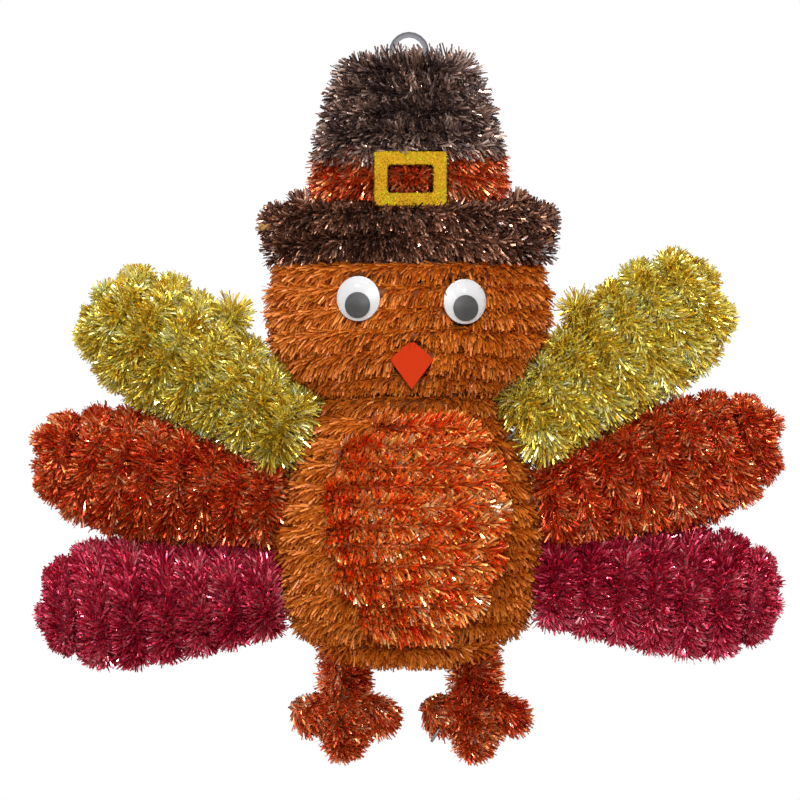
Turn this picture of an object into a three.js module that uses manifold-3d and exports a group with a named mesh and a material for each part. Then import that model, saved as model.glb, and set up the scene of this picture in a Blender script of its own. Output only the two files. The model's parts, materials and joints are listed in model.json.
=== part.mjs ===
// Hanging turkey decoration: garlands of foil tinsel wound on clear formed plastic shells, with
// loose-pupil eyes, a felt beak, a glitter hat buckle and tinsel feet on twisted wire.
// Millimetres, +Z up, +X to the viewer's right, the front faces -Y.
// The origin is the centre of the hole in the hang loop. Left and right are the viewer's.
import * as THREE from "three";
import { mergeVertices } from "three/addons/utils/BufferGeometryUtils.js";
import Module from "manifold-3d";

const wasm = await Module();
wasm.setup();

// Clearances
const SEAT_GAP = 0.3; // between a piece and what carries it
const WRAP_GAP = 0.6; // between a shell and the garland wound on it
const TURN_GAP = 1.2; // between neighbouring turns of one garland
const CORNER_GAP = 2.6; // from a hollow corner of the figure to the nearest turns
const ROOT_GAP = 5; // of bare shell at a feather's root
const TIP_GAP = 1.5; // of bare shell at a feather's tip
const ROLL_GAP = 0.2; // between a pupil and the wall it rolls round

// The figure shell: levels are stacked downwards from the crown's top, widths are full widths
const CROWN_TOP_Z = -12;
const CROWN_HEIGHT = 33.5;
const CROWN_ROUND = 6; // height of the rounded shoulder at the crown's top
const BAND_HEIGHT = 21;
const LEDGE_HEIGHT = 7; // slope from the band out to the brim
const BRIM_HEIGHT = 21;
const HEAD_HEIGHT = 59;
const BODY_HEIGHT = 113;
const CROWN_TOP_WIDTH = 42;
const CROWN_WIDTH = 61;
const BAND_WIDTH = 65;
const BRIM_WIDTH = 112;
const HEAD_WIDTH = 106;
const HEAD_FOOT_WIDTH = 72;
const NECK_WIDTH = 62;
const BODY_WIDTH = 101;
const CROWN_TOP_DEPTH = 16;
const CROWN_DEPTH = 26;
const BRIM_DEPTH = 40;
const HEAD_DEPTH = 40;
const NECK_DEPTH = 29;
const BODY_DEPTH = 40;
const SHELL_WALL = 0.8;

// Garlands: the pitch from turn to turn, and the pile, which is the tinsel's reach from its core
const CROWN_PITCH = 8.4;
const BAND_PITCH = 8.6;
const BRIM_PITCH = 8.6;
const HEAD_PITCH = 8.8;
const BODY_PITCH = 9.2;
const BELLY_PITCH = 8.4;
const FEATHER_PITCH = 13;
const FIGURE_PILE = 4.3;
const BELLY_PILE = 3.6;
const FEATHER_PILE = 5.8;

// The belly patch on the body's front
const BELLY_WIDTH = 68;
const BELLY_HEIGHT = 84;
const BELLY_X = 2;
const BELLY_Z = -211;
const BELLY_SEAT = 1; // from the body's turns
const BELLY_ROUNDING = 0.96; // 1 would bring the end rows to a point
const BELLY_END_ANGLE = 0.12; // from a row's end to its nearest bend

// Feathers: root level on the body's side, lift above level in degrees, shell length and width
const GOLD_LEFT_ROOT_Z = -175;
const GOLD_LEFT_LIFT = 35;
const GOLD_RIGHT_ROOT_Z = -172;
const GOLD_RIGHT_LIFT = 38;
const GOLD_LENGTH = 104;
const GOLD_WIDTH = 32;
const GOLD_SWELL = 0.6; // under 1 a feather fills out early
const GOLD_TIP = 26; // length of the rounded tip
const GOLD_FORWARD = 6; // how far the pair stands in front of the crimson pair
const ORANGE_LEFT_ROOT_Z = -205;
const ORANGE_LEFT_LIFT = 12.4;
const ORANGE_RIGHT_ROOT_Z = -208.5;
const ORANGE_RIGHT_LIFT = 19;
const ORANGE_LENGTH = 107;
const ORANGE_WIDTH = 31;
const ORANGE_SWELL = 0.85;
const ORANGE_TIP = 44;
const ORANGE_FORWARD = 3;
const CRIMSON_LEFT_ROOT_Z = -245;
const CRIMSON_LEFT_LIFT = -4.3;
const CRIMSON_RIGHT_ROOT_Z = -240.5;
const CRIMSON_RIGHT_LIFT = -4.5;
const CRIMSON_LENGTH = 104;
const CRIMSON_WIDTH = 32;
const CRIMSON_SWELL = 0.65;
const CRIMSON_TIP = 36;
const CRIMSON_FORWARD = 0;
const FEATHER_ROOT_WIDTH = 7;
const FEATHER_TIP_ROUNDING = 0.97; // 1 would bring the tip to a point
const FEATHER_DEPTH = 12;
const FEATHER_ROOT_DEPTH = 6;
const STEM_RADIUS = 0.8;
const STEM_IN_FEATHER = 16;
const STEM_IN_FIGURE = 24;

// Feet: twisted wire with sleeves of garland
const FOOT_WIRE_RADIUS = 0.9;
const LEG_X = 29.5;
const LEG_Y = -15;
const LEG_WIRE_TOP_Z = -246;
const FOOT_Z = -294.5;
const LEG_RADIUS = 7;
const LEG_SEAT_RADIUS = 4.6; // of the leg's rounded top, where it meets the body
const TOE_RADIUS = 6;
const SIDE_TOE_LENGTH = 23.5;
const MIDDLE_TOE_LENGTH = 25;
const SIDE_TOE_DROP = 17; // degrees below level
const TOE_TIP_WALL = 3; // of tinsel past the end of a toe's wire
const THROUGH_ROUNDING = 0.94; // radians of rounding at a leg's top

// Eyes
const LEFT_EYE_X = -22.5;
const LEFT_EYE_Z = -113.1;
const RIGHT_EYE_X = 24.7;
const RIGHT_EYE_Z = -114.4;
const EYE_RADIUS = 10;
const EYE_BACK_THICKNESS = 1;
const EYE_FLANGE = 0.6; // width and thickness of the rim round the dome
const EYE_WALL = 0.5;
const EYE_SKIRT = 2.6; // straight height of the dome above the backing disc
const EYE_HEIGHT = 5.6;
const PUPIL_RADIUS = 5.8;
const PUPIL_THICKNESS = 0.9;
const PUPIL_LIFT = 0.5; // from the backing disc

// Beak, buckle and hang loop
const BEAK_X = 1.1;
const BEAK_TOP_Z = -132.7;
const BEAK_WIDTH = 19.6;
const BEAK_HEIGHT = 21;
const BEAK_SHOULDER = 7.6; // from the top down to the widest point
const BEAK_BLUNT = 3; // width of the blunt top
const BEAK_THICKNESS = 2;
const BUCKLE_X = 0.6;
const BUCKLE_Z = -59.5;
const BUCKLE_WIDTH = 32.5;
const BUCKLE_HEIGHT = 24.6;
const BUCKLE_BORDER = 6.1;
const BUCKLE_CORNER = 1.6;
const BUCKLE_THICKNESS = 2.5;
const LOOP_RADIUS = 9.1;
const LOOP_HOLE_RADIUS = 6.6;
const LOOP_TAIL_WIDTH = 10;
const LOOP_TAIL_END_Z = -38;
const LOOP_THICKNESS = 1.6;
const LOOP_Y = -1; // of its back face, from the shell's open back

// Facet counts
const FIGURE_STEPS = 7; // straight stretches of one turn across the front
const FEATHER_STEPS = 5;
const FIGURE_RING_PITCH = 6.5;
const FEATHER_RING_PITCH = 8;
const GARLAND_SIDES = 5;
const SLEEVE_SIDES = 12;
const WIRE_SIDES = 8;
const ROUND_SIDES = 20;
const ARC_STEPS = 8;
const TIP_STEPS = 3;
const CAP_STEPS = 5;

// Materials

function finish(name, color, roughness, metalness) {
  return new THREE.MeshStandardMaterial({ name, color, roughness, metalness });
}

const clearSheet = finish("clear_sheet", 0xdfe3e6, 0.15, 0);
const brownTinsel = finish("brown_tinsel", 0x41322d, 0.35, 0.8);
const copperTinsel = finish("copper_tinsel", 0xa54620, 0.3, 0.8);
const caramelTinsel = finish("caramel_tinsel", 0xa55a1e, 0.45, 0.5);
const goldTinsel = finish("gold_tinsel", 0x9f8a3c, 0.3, 0.8);
const orangeTinsel = finish("orange_tinsel", 0x8c321a, 0.3, 0.8);
const crimsonTinsel = finish("crimson_tinsel", 0x801d2a, 0.3, 0.8);
const galvanisedWire = finish("galvanised_wire", 0x8b8983, 0.4, 0.9);
const whitePlastic = finish("white_plastic", 0xf0f0ee, 0.35, 0);
const blackPlastic = finish("black_plastic", 0x1b1919, 0.5, 0);
const redFelt = finish("red_felt", 0xd43b17, 0.9, 0);
const goldGlitter = finish("gold_glitter", 0xc1941f, 0.4, 0.6);

// Solids and meshes

function solidOf(geometry) {
  const bare = geometry.clone();
  bare.deleteAttribute("normal");
  bare.deleteAttribute("uv");
  const merged = mergeVertices(bare, 1e-4);
  return new wasm.Manifold(
    new wasm.Mesh({
      numProp: 3,
      vertProperties: new Float32Array(merged.attributes.position.array),
      triVerts: new Uint32Array(merged.index.array),
    }),
  );
}

function geometryOf(solid) {
  const { vertProperties, triVerts } = solid.getMesh();
  const geometry = new THREE.BufferGeometry();
  geometry.setAttribute("position", new THREE.BufferAttribute(vertProperties, 3));
  geometry.setIndex(new THREE.BufferAttribute(triVerts, 1));
  return geometry;
}

function addPiece(parent, name, geometry, material) {
  const mesh = new THREE.Mesh(geometry, material);
  mesh.name = name;
  parent.add(mesh);
  return mesh;
}

// A closed skin over rings of equal point counts, with a flat cap on the first and last ring.
function skinRings(rings) {
  const sides = rings[0].length;
  const positions = rings.flat().flatMap((point) => point.toArray());
  const faces = [];
  for (let i = 0; i + 1 < rings.length; i++) {
    for (let k = 0; k < sides; k++) {
      const a = i * sides + k;
      const b = i * sides + ((k + 1) % sides);
      faces.push(a, b, b + sides, a, b + sides, a + sides);
    }
  }
  const last = (rings.length - 1) * sides;
  for (let k = 1; k + 1 < sides; k++) {
    faces.push(0, k + 1, k, last, last + k, last + k + 1);
  }
  const geometry = new THREE.BufferGeometry();
  geometry.setAttribute("position", new THREE.Float32BufferAttribute(positions, 3));
  geometry.setIndex(faces);
  return geometry;
}

// A rod from one point to another.
function rod(from, to, radius, sides) {
  const along = to.clone().sub(from);
  const geometry = new THREE.CylinderGeometry(radius, radius, along.length(), sides);
  const turn = new THREE.Quaternion().setFromUnitVectors(new THREE.Vector3(0, 1, 0), along.normalize());
  geometry.applyQuaternion(turn);
  const middle = from.clone().lerp(to, 0.5);
  return geometry.translate(middle.x, middle.y, middle.z);
}

// A flat outline in X and Z, with its back face at Y = 0 and its thickness towards the front.
function flatPiece(outline, thickness) {
  const settings = { depth: thickness, bevelEnabled: false, curveSegments: ARC_STEPS };
  return new THREE.ExtrudeGeometry(outline, settings).rotateX(Math.PI / 2);
}

// A smooth curve without overshoot through [station, value] pairs with rising stations.
function smoothCurve(pairs) {
  const rise = pairs.slice(1).map((pair, i) => (pair[1] - pairs[i][1]) / (pair[0] - pairs[i][0]));
  const slope = pairs.map((_, i) => {
    const before = rise[Math.max(0, i - 1)];
    const after = rise[Math.min(rise.length - 1, i)];
    return before * after <= 0 ? 0 : (2 * before * after) / (before + after);
  });
  return (at) => {
    const station = THREE.MathUtils.clamp(at, pairs[0][0], pairs.at(-1)[0]);
    let i = 0;
    while (i + 2 < pairs.length && station > pairs[i + 1][0]) i++;
    const span = pairs[i + 1][0] - pairs[i][0];
    const t = (station - pairs[i][0]) / span;
    return (
      pairs[i][1] * (1 + 2 * t) * (1 - t) ** 2 +
      slope[i] * span * t * (1 - t) ** 2 +
      pairs[i + 1][1] * t * t * (3 - 2 * t) +
      slope[i + 1] * span * t * t * (t - 1)
    );
  };
}

// Half-round shells: at each station along local Z the section is a half ellipse, open at the back

function surfacePoint(shell, station, angle) {
  const x = shell.halfWidth(station) * Math.cos(angle);
  const y = -shell.depth(station) * Math.sin(angle);
  return new THREE.Vector3(x, y, station);
}

function surfaceNormal(shell, station, angle) {
  const step = 0.02;
  const low = Math.max(shell.bottom, station - step);
  const high = Math.min(shell.top, station + step);
  const along = surfacePoint(shell, high, angle).sub(surfacePoint(shell, low, angle));
  const across = surfacePoint(shell, station, angle + step).sub(surfacePoint(shell, station, angle - step));
  return along.cross(across).normalize();
}

function offsetPoint(shell, station, angle, offset) {
  const normal = surfaceNormal(shell, station, angle);
  return surfacePoint(shell, station, angle).addScaledVector(normal, offset);
}

// Maps shares of the way along an offset surface to stations. The way is measured where its rows
// lie closest, and where they cross the flat back, only by their levels.
function stationsAlong(shell, from, to, offset, angles, crossBack) {
  const samples = 400;
  const travelled = [0];
  let previous = angles.map((angle) => offsetPoint(shell, from, angle, offset));
  for (let i = 1; i <= samples; i++) {
    const station = THREE.MathUtils.lerp(from, to, i / samples);
    const points = angles.map((angle) => offsetPoint(shell, station, angle, offset));
    const moved = points.map((point, k) => point.distanceTo(previous[k]));
    if (crossBack) moved.push(Math.abs(points[0].z - previous[0].z));
    travelled.push(travelled[i - 1] + Math.min(...moved));
    previous = points;
  }
  const length = travelled[samples];
  const at = (share) => {
    const i = travelled.findIndex((distance) => distance >= share * length);
    return THREE.MathUtils.lerp(from, to, i / samples);
  };
  return { length, at };
}

function frontAngles(shell) {
  return Array.from({ length: shell.steps + 1 }, (_, k) => (Math.PI * k) / shell.steps);
}

function shellRings(shell, inset, backReach) {
  const angles = frontAngles(shell).reverse();
  const way = stationsAlong(shell, shell.bottom, shell.top, 0, angles, false);
  const count = Math.round(way.length / shell.ringPitch);
  return Array.from({ length: count + 1 }, (_, i) => {
    const station = way.at(i / count);
    const ring = angles.map((angle) => offsetPoint(shell, station, angle, -inset));
    if (backReach > 0) {
      const corners = [ring.at(-1).clone(), ring[0].clone()];
      corners.forEach((corner) => corner.setY(backReach));
      ring.push(...corners);
    }
    return ring;
  });
}

function openShell(shell) {
  const outside = solidOf(skinRings(shellRings(shell, 0, 0)));
  const hollow = solidOf(skinRings(shellRings(shell, SHELL_WALL, SHELL_WALL)));
  return outside.subtract(hollow);
}

// Garlands: one tube whose turns lie level across the front and step to the next row at the back

const FLAT_OF_SIDE = Math.cos(Math.PI / GARLAND_SIDES); // a flat of the section faces outwards
const WIDEST_OF_SIDE = Math.sin((Math.PI * 3) / GARLAND_SIDES);

function garland(shell, pitch, pile) {
  return {
    shell,
    pitch,
    pile,
    offset: WRAP_GAP + pile,
    layer: WRAP_GAP + pile * (1 + FLAT_OF_SIDE), // from the shell to the outer flats
  };
}

// Evenly spaced rows, at least one pitch apart, and half the height that each can fill.
function spacedRows(shell, from, to, offset, pitch, angles, crossBack) {
  const way = stationsAlong(shell, from, to, offset, angles, crossBack);
  const rows = Math.max(1, Math.floor(way.length / pitch));
  return {
    stations: Array.from({ length: rows }, (_, row) => way.at((row + 0.5) / rows)),
    halfRow: (way.length / rows - TURN_GAP) / (2 * WIDEST_OF_SIDE),
  };
}

// The start of the stretch across the back to the next row: round the rim, then onto the flat.
function backStretch(shell, offset, station, side, level) {
  const turnShare = 0.06; // of the step to the next row, at the rim
  const flatShare = 0.14; // of that step, where the flat begins
  const flatInset = 1; // from the rim to the flat's beginning
  const rim = shell.halfWidth(station);
  const lean = offset * Math.SQRT1_2;
  const turn = {
    point: new THREE.Vector3(side * (rim + lean), lean, level(turnShare)),
    outward: new THREE.Vector3(side, 1, 0),
  };
  const flat = {
    point: new THREE.Vector3(side * (rim - flatInset), offset, level(flatShare)),
    outward: new THREE.Vector3(0, 1, 0),
  };
  return { turn, flat, rim };
}

function windingPath(wound, stations) {
  const { shell, offset, pile } = wound;
  const angles = frontAngles(shell);
  const rows = stations.map((station) =>
    angles.map((angle) => ({
      point: offsetPoint(shell, station, angle, offset),
      outward: surfaceNormal(shell, station, angle),
    })),
  );
  const level = (row) => rows[row][0].point.z;
  const path = [];
  rows.forEach((row, i) => {
    const before = i > 0 ? level(i - 1) : 2 * level(0) - level(Math.min(1, rows.length - 1));
    const after = i + 1 < rows.length ? level(i + 1) : 2 * level(i) - level(Math.max(0, i - 1));
    const towards = (next) => (share) => THREE.MathUtils.lerp(level(i), next, share);
    const arriving = backStretch(shell, offset, stations[i], 1, towards(before));
    const leaving = backStretch(shell, offset, stations[i], -1, towards(after));
    if (i === 0) path.push(leadPoint(arriving, level(i), before, pile));
    path.push(arriving.flat, arriving.turn, ...row, leaving.turn, leaving.flat);
    if (i + 1 === rows.length) path.push(leadPoint(leaving, level(i), after, pile));
  });
  return path;
}

// The free end of a garland runs on across the back for one garland diameter.
function leadPoint({ flat, rim }, level, next, pile) {
  const run = Math.min(2 * pile, rim / 2);
  const point = flat.point.clone();
  point.x -= Math.sign(point.x) * run;
  point.z += ((next - level) * run) / (2 * rim);
  return { point, outward: flat.outward };
}

function tubeRings(path, pile, halfRow) {
  return path.map(({ point, outward }, i) => {
    const before = path[Math.max(0, i - 1)].point;
    const after = path[Math.min(path.length - 1, i + 1)].point;
    const along = after.clone().sub(before).normalize();
    const out = outward.clone().addScaledVector(along, -outward.dot(along)).normalize();
    const side = along.clone().cross(out);
    return Array.from({ length: GARLAND_SIDES }, (_, k) => {
      const angle = ((2 * k + 1) * Math.PI) / GARLAND_SIDES;
      return point
        .clone()
        .addScaledVector(out, pile * Math.cos(angle))
        .addScaledVector(side, halfRow * Math.sin(angle));
    });
  });
}

// The least distance between points on stretches of one tube that aren't next to each other.
function leastSelfGap(rings) {
  const apart = 5;
  const between = (ring, other) => ring.map((point, k) => point.clone().lerp(other[k], 0.5));
  const halfway = rings.slice(1).map((ring, i) => between(ring, rings[i]));
  const all = rings.flatMap((ring, i) => (i < halfway.length ? [ring, halfway[i]] : [ring]));
  let least = Infinity;
  for (let i = 0; i < all.length; i++) {
    for (let j = i + 2 * apart; j < all.length; j++) {
      for (const a of all[i]) {
        for (const b of all[j]) least = Math.min(least, a.distanceTo(b));
      }
    }
  }
  return least;
}

function garlandGeometry(name, path, pile, halfRow) {
  const rings = tubeRings(path, pile, halfRow);
  console.log(`${name}: least gap between turns ${leastSelfGap(rings).toFixed(2)} mm`);
  return skinRings(rings);
}

function woundGarland(name, wound, from, to) {
  const { shell, offset, pitch } = wound;
  const { stations, halfRow } = spacedRows(shell, from, to, offset, pitch, frontAngles(shell), true);
  return garlandGeometry(name, windingPath(wound, stations), wound.pile, halfRow);
}

// The figure shell: hat, head and body in one formed sheet

const bandTop = CROWN_TOP_Z - CROWN_HEIGHT;
const ledgeTop = bandTop - BAND_HEIGHT;
const brimTop = ledgeTop - LEDGE_HEIGHT;
const headTop = brimTop - BRIM_HEIGHT;
const bodyTop = headTop - HEAD_HEIGHT;
const bodyBottom = bodyTop - BODY_HEIGHT;

function figureShell() {
  const half = (width) => width / 2;
  const head = (share) => headTop - share * HEAD_HEIGHT;
  const body = (share) => bodyTop - share * BODY_HEIGHT;
  // Level, half width and depth from the crown's top down to the body's bottom
  const outline = [
    [CROWN_TOP_Z, half(CROWN_TOP_WIDTH) * 0.55, CROWN_TOP_DEPTH * 0.55],
    [CROWN_TOP_Z - CROWN_ROUND * 0.25, half(CROWN_TOP_WIDTH) * 0.83, CROWN_TOP_DEPTH * 0.83],
    [CROWN_TOP_Z - CROWN_ROUND, half(CROWN_TOP_WIDTH), CROWN_TOP_DEPTH],
    [bandTop, half(CROWN_WIDTH), CROWN_DEPTH],
    [ledgeTop, half(BAND_WIDTH), CROWN_DEPTH + half(BAND_WIDTH - CROWN_WIDTH)],
    [brimTop, half(BRIM_WIDTH) * 0.96, BRIM_DEPTH * 0.96],
    [brimTop - BRIM_HEIGHT * 0.35, half(BRIM_WIDTH), BRIM_DEPTH],
    [brimTop - BRIM_HEIGHT * 0.8, half(BRIM_WIDTH) * 0.95, BRIM_DEPTH * 0.97],
    [headTop, half(HEAD_WIDTH) * 0.92, HEAD_DEPTH * 0.94],
    [head(0.3), half(HEAD_WIDTH), HEAD_DEPTH],
    [head(0.52), half(HEAD_WIDTH), HEAD_DEPTH],
    [head(0.76), half(HEAD_WIDTH) * 0.86, HEAD_DEPTH * 0.97],
    [head(0.93), half(HEAD_FOOT_WIDTH), HEAD_DEPTH * 0.84],
    [bodyTop, half(NECK_WIDTH), NECK_DEPTH],
    [body(0.12), half(NECK_WIDTH) * 1.06, NECK_DEPTH * 1.06],
    [body(0.36), half(BODY_WIDTH) * 0.88, BODY_DEPTH * 0.92],
    [body(0.58), half(BODY_WIDTH), BODY_DEPTH],
    [body(0.8), half(BODY_WIDTH) * 0.93, BODY_DEPTH * 0.9],
    [body(0.92), half(BODY_WIDTH) * 0.74, BODY_DEPTH * 0.68],
    [body(0.98), half(BODY_WIDTH) * 0.5, BODY_DEPTH * 0.44],
    [bodyBottom, half(BODY_WIDTH) * 0.32, BODY_DEPTH * 0.28],
  ].reverse();
  return {
    halfWidth: smoothCurve(outline.map(([z, width]) => [z, width])),
    depth: smoothCurve(outline.map(([z, , depth]) => [z, depth])),
    top: CROWN_TOP_Z,
    bottom: bodyBottom,
    steps: FIGURE_STEPS,
    ringPitch: FIGURE_RING_PITCH,
  };
}

const figure = figureShell();
const bodyGarland = garland(figure, BODY_PITCH, FIGURE_PILE);
const headGarland = garland(figure, HEAD_PITCH, FIGURE_PILE);

// The belly garland runs to and fro in level rows over the front of the body's turns.
function bellyGarland(name) {
  const lift = bodyGarland.layer + BELLY_SEAT + BELLY_PILE;
  const top = BELLY_Z + BELLY_HEIGHT / 2;
  const bottom = BELLY_Z - BELLY_HEIGHT / 2;
  const middle = frontAngles(figure).slice(2, -2);
  const { stations, halfRow } = spacedRows(figure, top, bottom, lift, BELLY_PITCH, middle, false);
  const angleAt = (station, x) => Math.acos(x / (figure.halfWidth(station) + lift));
  const placed = (station, angle) => ({
    point: offsetPoint(figure, station, angle, lift),
    outward: surfaceNormal(figure, station, angle),
  });
  const reachAt = (station) => {
    const along = (station - BELLY_Z) / (BELLY_HEIGHT / 2);
    return (BELLY_WIDTH / 2) * Math.sqrt(1 - BELLY_ROUNDING * along * along);
  };
  const path = [];
  stations.forEach((station, row) => {
    const side = row % 2 === 0 ? 1 : -1;
    const from = angleAt(station, BELLY_X - side * reachAt(station));
    const to = angleAt(station, BELLY_X + side * reachAt(station));
    const inner = frontAngles(figure).filter(
      (angle) => Math.abs(angle - (from + to) / 2) < Math.abs(from - to) / 2 - BELLY_END_ANGLE,
    );
    if (side > 0) inner.reverse();
    path.push(...[from, ...inner, to].map((angle) => placed(station, angle)));
    if (row + 1 === stations.length) return;
    // The half turn from this row's end to the next row's start
    const next = stations[row + 1];
    for (const share of [0.25, 0.75]) {
      const level = THREE.MathUtils.lerp(station, next, share);
      const reach = THREE.MathUtils.lerp(reachAt(station), reachAt(next), share);
      const bulge = (BELLY_PITCH / 2) * Math.sin(Math.PI * share);
      path.push(placed(level, angleAt(level, BELLY_X + side * (reach + bulge))));
    }
  });
  return garlandGeometry(name, path, BELLY_PILE, halfRow);
}

// Feathers: half-round lobes in their own turned groups, each on a wire stem

function featherShell(length, width, swelling, tip) {
  const root = FEATHER_ROOT_WIDTH / 2;
  const half = width / 2;
  const widest = length - tip;
  // Swells from the root to the widest place, then follows an ellipse to the blunt tip
  const swell = [0, 0.2, 0.6, 1].map((share) => [
    share * widest,
    root + (half - root) * share ** swelling,
  ]);
  const taper = [0.4, 0.7, 0.9, 1].map((share) => [
    widest + share * tip,
    half * Math.sqrt(1 - FEATHER_TIP_ROUNDING * share * share),
  ]);
  const along = [...swell, ...taper];
  const halfWidth = smoothCurve(along);
  const slope = (FEATHER_DEPTH - FEATHER_ROOT_DEPTH) / (half - root);
  return {
    halfWidth,
    depth: (station) => FEATHER_ROOT_DEPTH + slope * (halfWidth(station) - root),
    top: length,
    bottom: 0,
    steps: FEATHER_STEPS,
    ringPitch: FEATHER_RING_PITCH,
  };
}

const featherLayer = garland(figure, FEATHER_PITCH, FEATHER_PILE).layer;
const wallY = bodyGarland.layer; // the plane that the backs of the garlands share
const stemDepth = FEATHER_ROOT_DEPTH / 2;

// Where a feather's root clears the body's turns, at its middle and at both of its corners.
function rootReach(rootZ, lift) {
  const corner = FEATHER_ROOT_WIDTH / 2 + featherLayer;
  const reaches = [-1, 0, 1].map((end) => {
    const level = rootZ + end * corner * Math.cos(lift);
    return figure.halfWidth(level) + bodyGarland.layer + end * corner * Math.sin(lift);
  });
  return Math.max(...reaches) + SEAT_GAP;
}

function featherGroup({ side, rootZ, lift, forward }) {
  const angle = THREE.MathUtils.degToRad(lift);
  const group = new THREE.Group();
  group.position.set(side * rootReach(rootZ, angle), wallY - featherLayer - forward, rootZ);
  group.rotation.y = side * (Math.PI / 2 - angle);
  group.updateMatrixWorld(true);
  return group;
}

function stemGeometry(clearance) {
  const from = new THREE.Vector3(0, -stemDepth, -STEM_IN_FIGURE - clearance);
  const to = new THREE.Vector3(0, -stemDepth, STEM_IN_FEATHER + clearance);
  return rod(from, to, STEM_RADIUS + clearance, WIRE_SIDES);
}

const gold = {
  colour: "gold",
  length: GOLD_LENGTH,
  width: GOLD_WIDTH,
  swelling: GOLD_SWELL,
  tip: GOLD_TIP,
  forward: GOLD_FORWARD,
  material: goldTinsel,
};
const orange = {
  colour: "orange",
  length: ORANGE_LENGTH,
  width: ORANGE_WIDTH,
  swelling: ORANGE_SWELL,
  tip: ORANGE_TIP,
  forward: ORANGE_FORWARD,
  material: orangeTinsel,
};
const crimson = {
  colour: "crimson",
  length: CRIMSON_LENGTH,
  width: CRIMSON_WIDTH,
  swelling: CRIMSON_SWELL,
  tip: CRIMSON_TIP,
  forward: CRIMSON_FORWARD,
  material: crimsonTinsel,
};
const feathers = [
  { ...gold, side: -1, rootZ: GOLD_LEFT_ROOT_Z, lift: GOLD_LEFT_LIFT },
  { ...gold, side: 1, rootZ: GOLD_RIGHT_ROOT_Z, lift: GOLD_RIGHT_LIFT },
  { ...orange, side: -1, rootZ: ORANGE_LEFT_ROOT_Z, lift: ORANGE_LEFT_LIFT },
  { ...orange, side: 1, rootZ: ORANGE_RIGHT_ROOT_Z, lift: ORANGE_RIGHT_LIFT },
  { ...crimson, side: -1, rootZ: CRIMSON_LEFT_ROOT_Z, lift: CRIMSON_LEFT_LIFT },
  { ...crimson, side: 1, rootZ: CRIMSON_RIGHT_ROOT_Z, lift: CRIMSON_RIGHT_LIFT },
].map((feather) => ({ ...feather, group: featherGroup(feather) }));

function addFeather(parent, { side, colour, length, width, swelling, tip, material, group }) {
  const name = `${side < 0 ? "left" : "right"}_${colour}`;
  const shell = featherShell(length, width, swelling, tip);
  const wound = garland(shell, FEATHER_PITCH, FEATHER_PILE);
  const form = openShell(shell).subtract(solidOf(stemGeometry(SEAT_GAP)));
  const tinsel = woundGarland(`${name}_feather_tinsel`, wound, ROOT_GAP, length - TIP_GAP);
  addPiece(group, `${name}_feather_form`, geometryOf(form), clearSheet);
  addPiece(group, `${name}_feather_stem`, stemGeometry(0), galvanisedWire);
  addPiece(group, `${name}_feather_tinsel`, tinsel, material);
  parent.add(group);
}

// Feet: a wire leg with three wire toes, each in a sleeve of garland whose inner end is a cone

function footWire(side, clearance) {
  const hub = new THREE.Vector3(side * LEG_X, LEG_Y, FOOT_Z);
  const top = new THREE.Vector3(side * LEG_X, LEG_Y, LEG_WIRE_TOP_Z + clearance);
  const radius = FOOT_WIRE_RADIUS + clearance;
  const leg = solidOf(rod(hub, top, radius, WIRE_SIDES));
  return toes().reduce((wire, toe) => {
    const end = hub.clone().addScaledVector(toe.direction, toe.length - TOE_TIP_WALL);
    return wire.add(solidOf(rod(hub, end, radius, WIRE_SIDES)));
  }, leg);
}

function toes() {
  const drop = THREE.MathUtils.degToRad(SIDE_TOE_DROP);
  const sideways = (side) => new THREE.Vector3(side * Math.cos(drop), 0, -Math.sin(drop));
  return [
    { name: "left_toe", direction: sideways(-1), length: SIDE_TOE_LENGTH },
    { name: "middle_toe", direction: new THREE.Vector3(0, 0, -1), length: MIDDLE_TOE_LENGTH },
    { name: "right_toe", direction: sideways(1), length: SIDE_TOE_LENGTH },
  ];
}

// A sleeve of garland along +Y from the hub, with a cone at the hub's end and a rounded far end.
// A leg's bore runs through, a toe's ends past the toe's wire.
function sleeve(radius, length, coneSlope, blind) {
  const bore = FOOT_WIRE_RADIUS + SEAT_GAP;
  const start = (bore + SEAT_GAP) / coneSlope + SEAT_GAP;
  const full = start + (radius - bore) / coneSlope;
  const round = Math.min(radius, (length - full) / 2);
  const sweep = blind ? Math.PI / 2 : THROUGH_ROUNDING;
  const arc = Array.from({ length: TIP_STEPS + 1 }, (_, i) => {
    const angle = (sweep * i) / TIP_STEPS;
    return new THREE.Vector2(radius * Math.cos(angle), length - round + round * Math.sin(angle));
  });
  if (blind) arc.at(-1).x = 0;
  const foot = new THREE.Vector2(bore, start);
  const side = [foot, new THREE.Vector2(radius, full), ...arc];
  if (!blind) side.push(new THREE.Vector2(bore, arc.at(-1).y), foot);
  if (!blind) return new THREE.LatheGeometry(side, SLEEVE_SIDES);
  const boreEnd = length - TOE_TIP_WALL + SEAT_GAP;
  const end = [new THREE.Vector2(0, boreEnd), new THREE.Vector2(bore, boreEnd)];
  return new THREE.LatheGeometry([...end, ...side], SLEEVE_SIDES);
}

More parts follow.
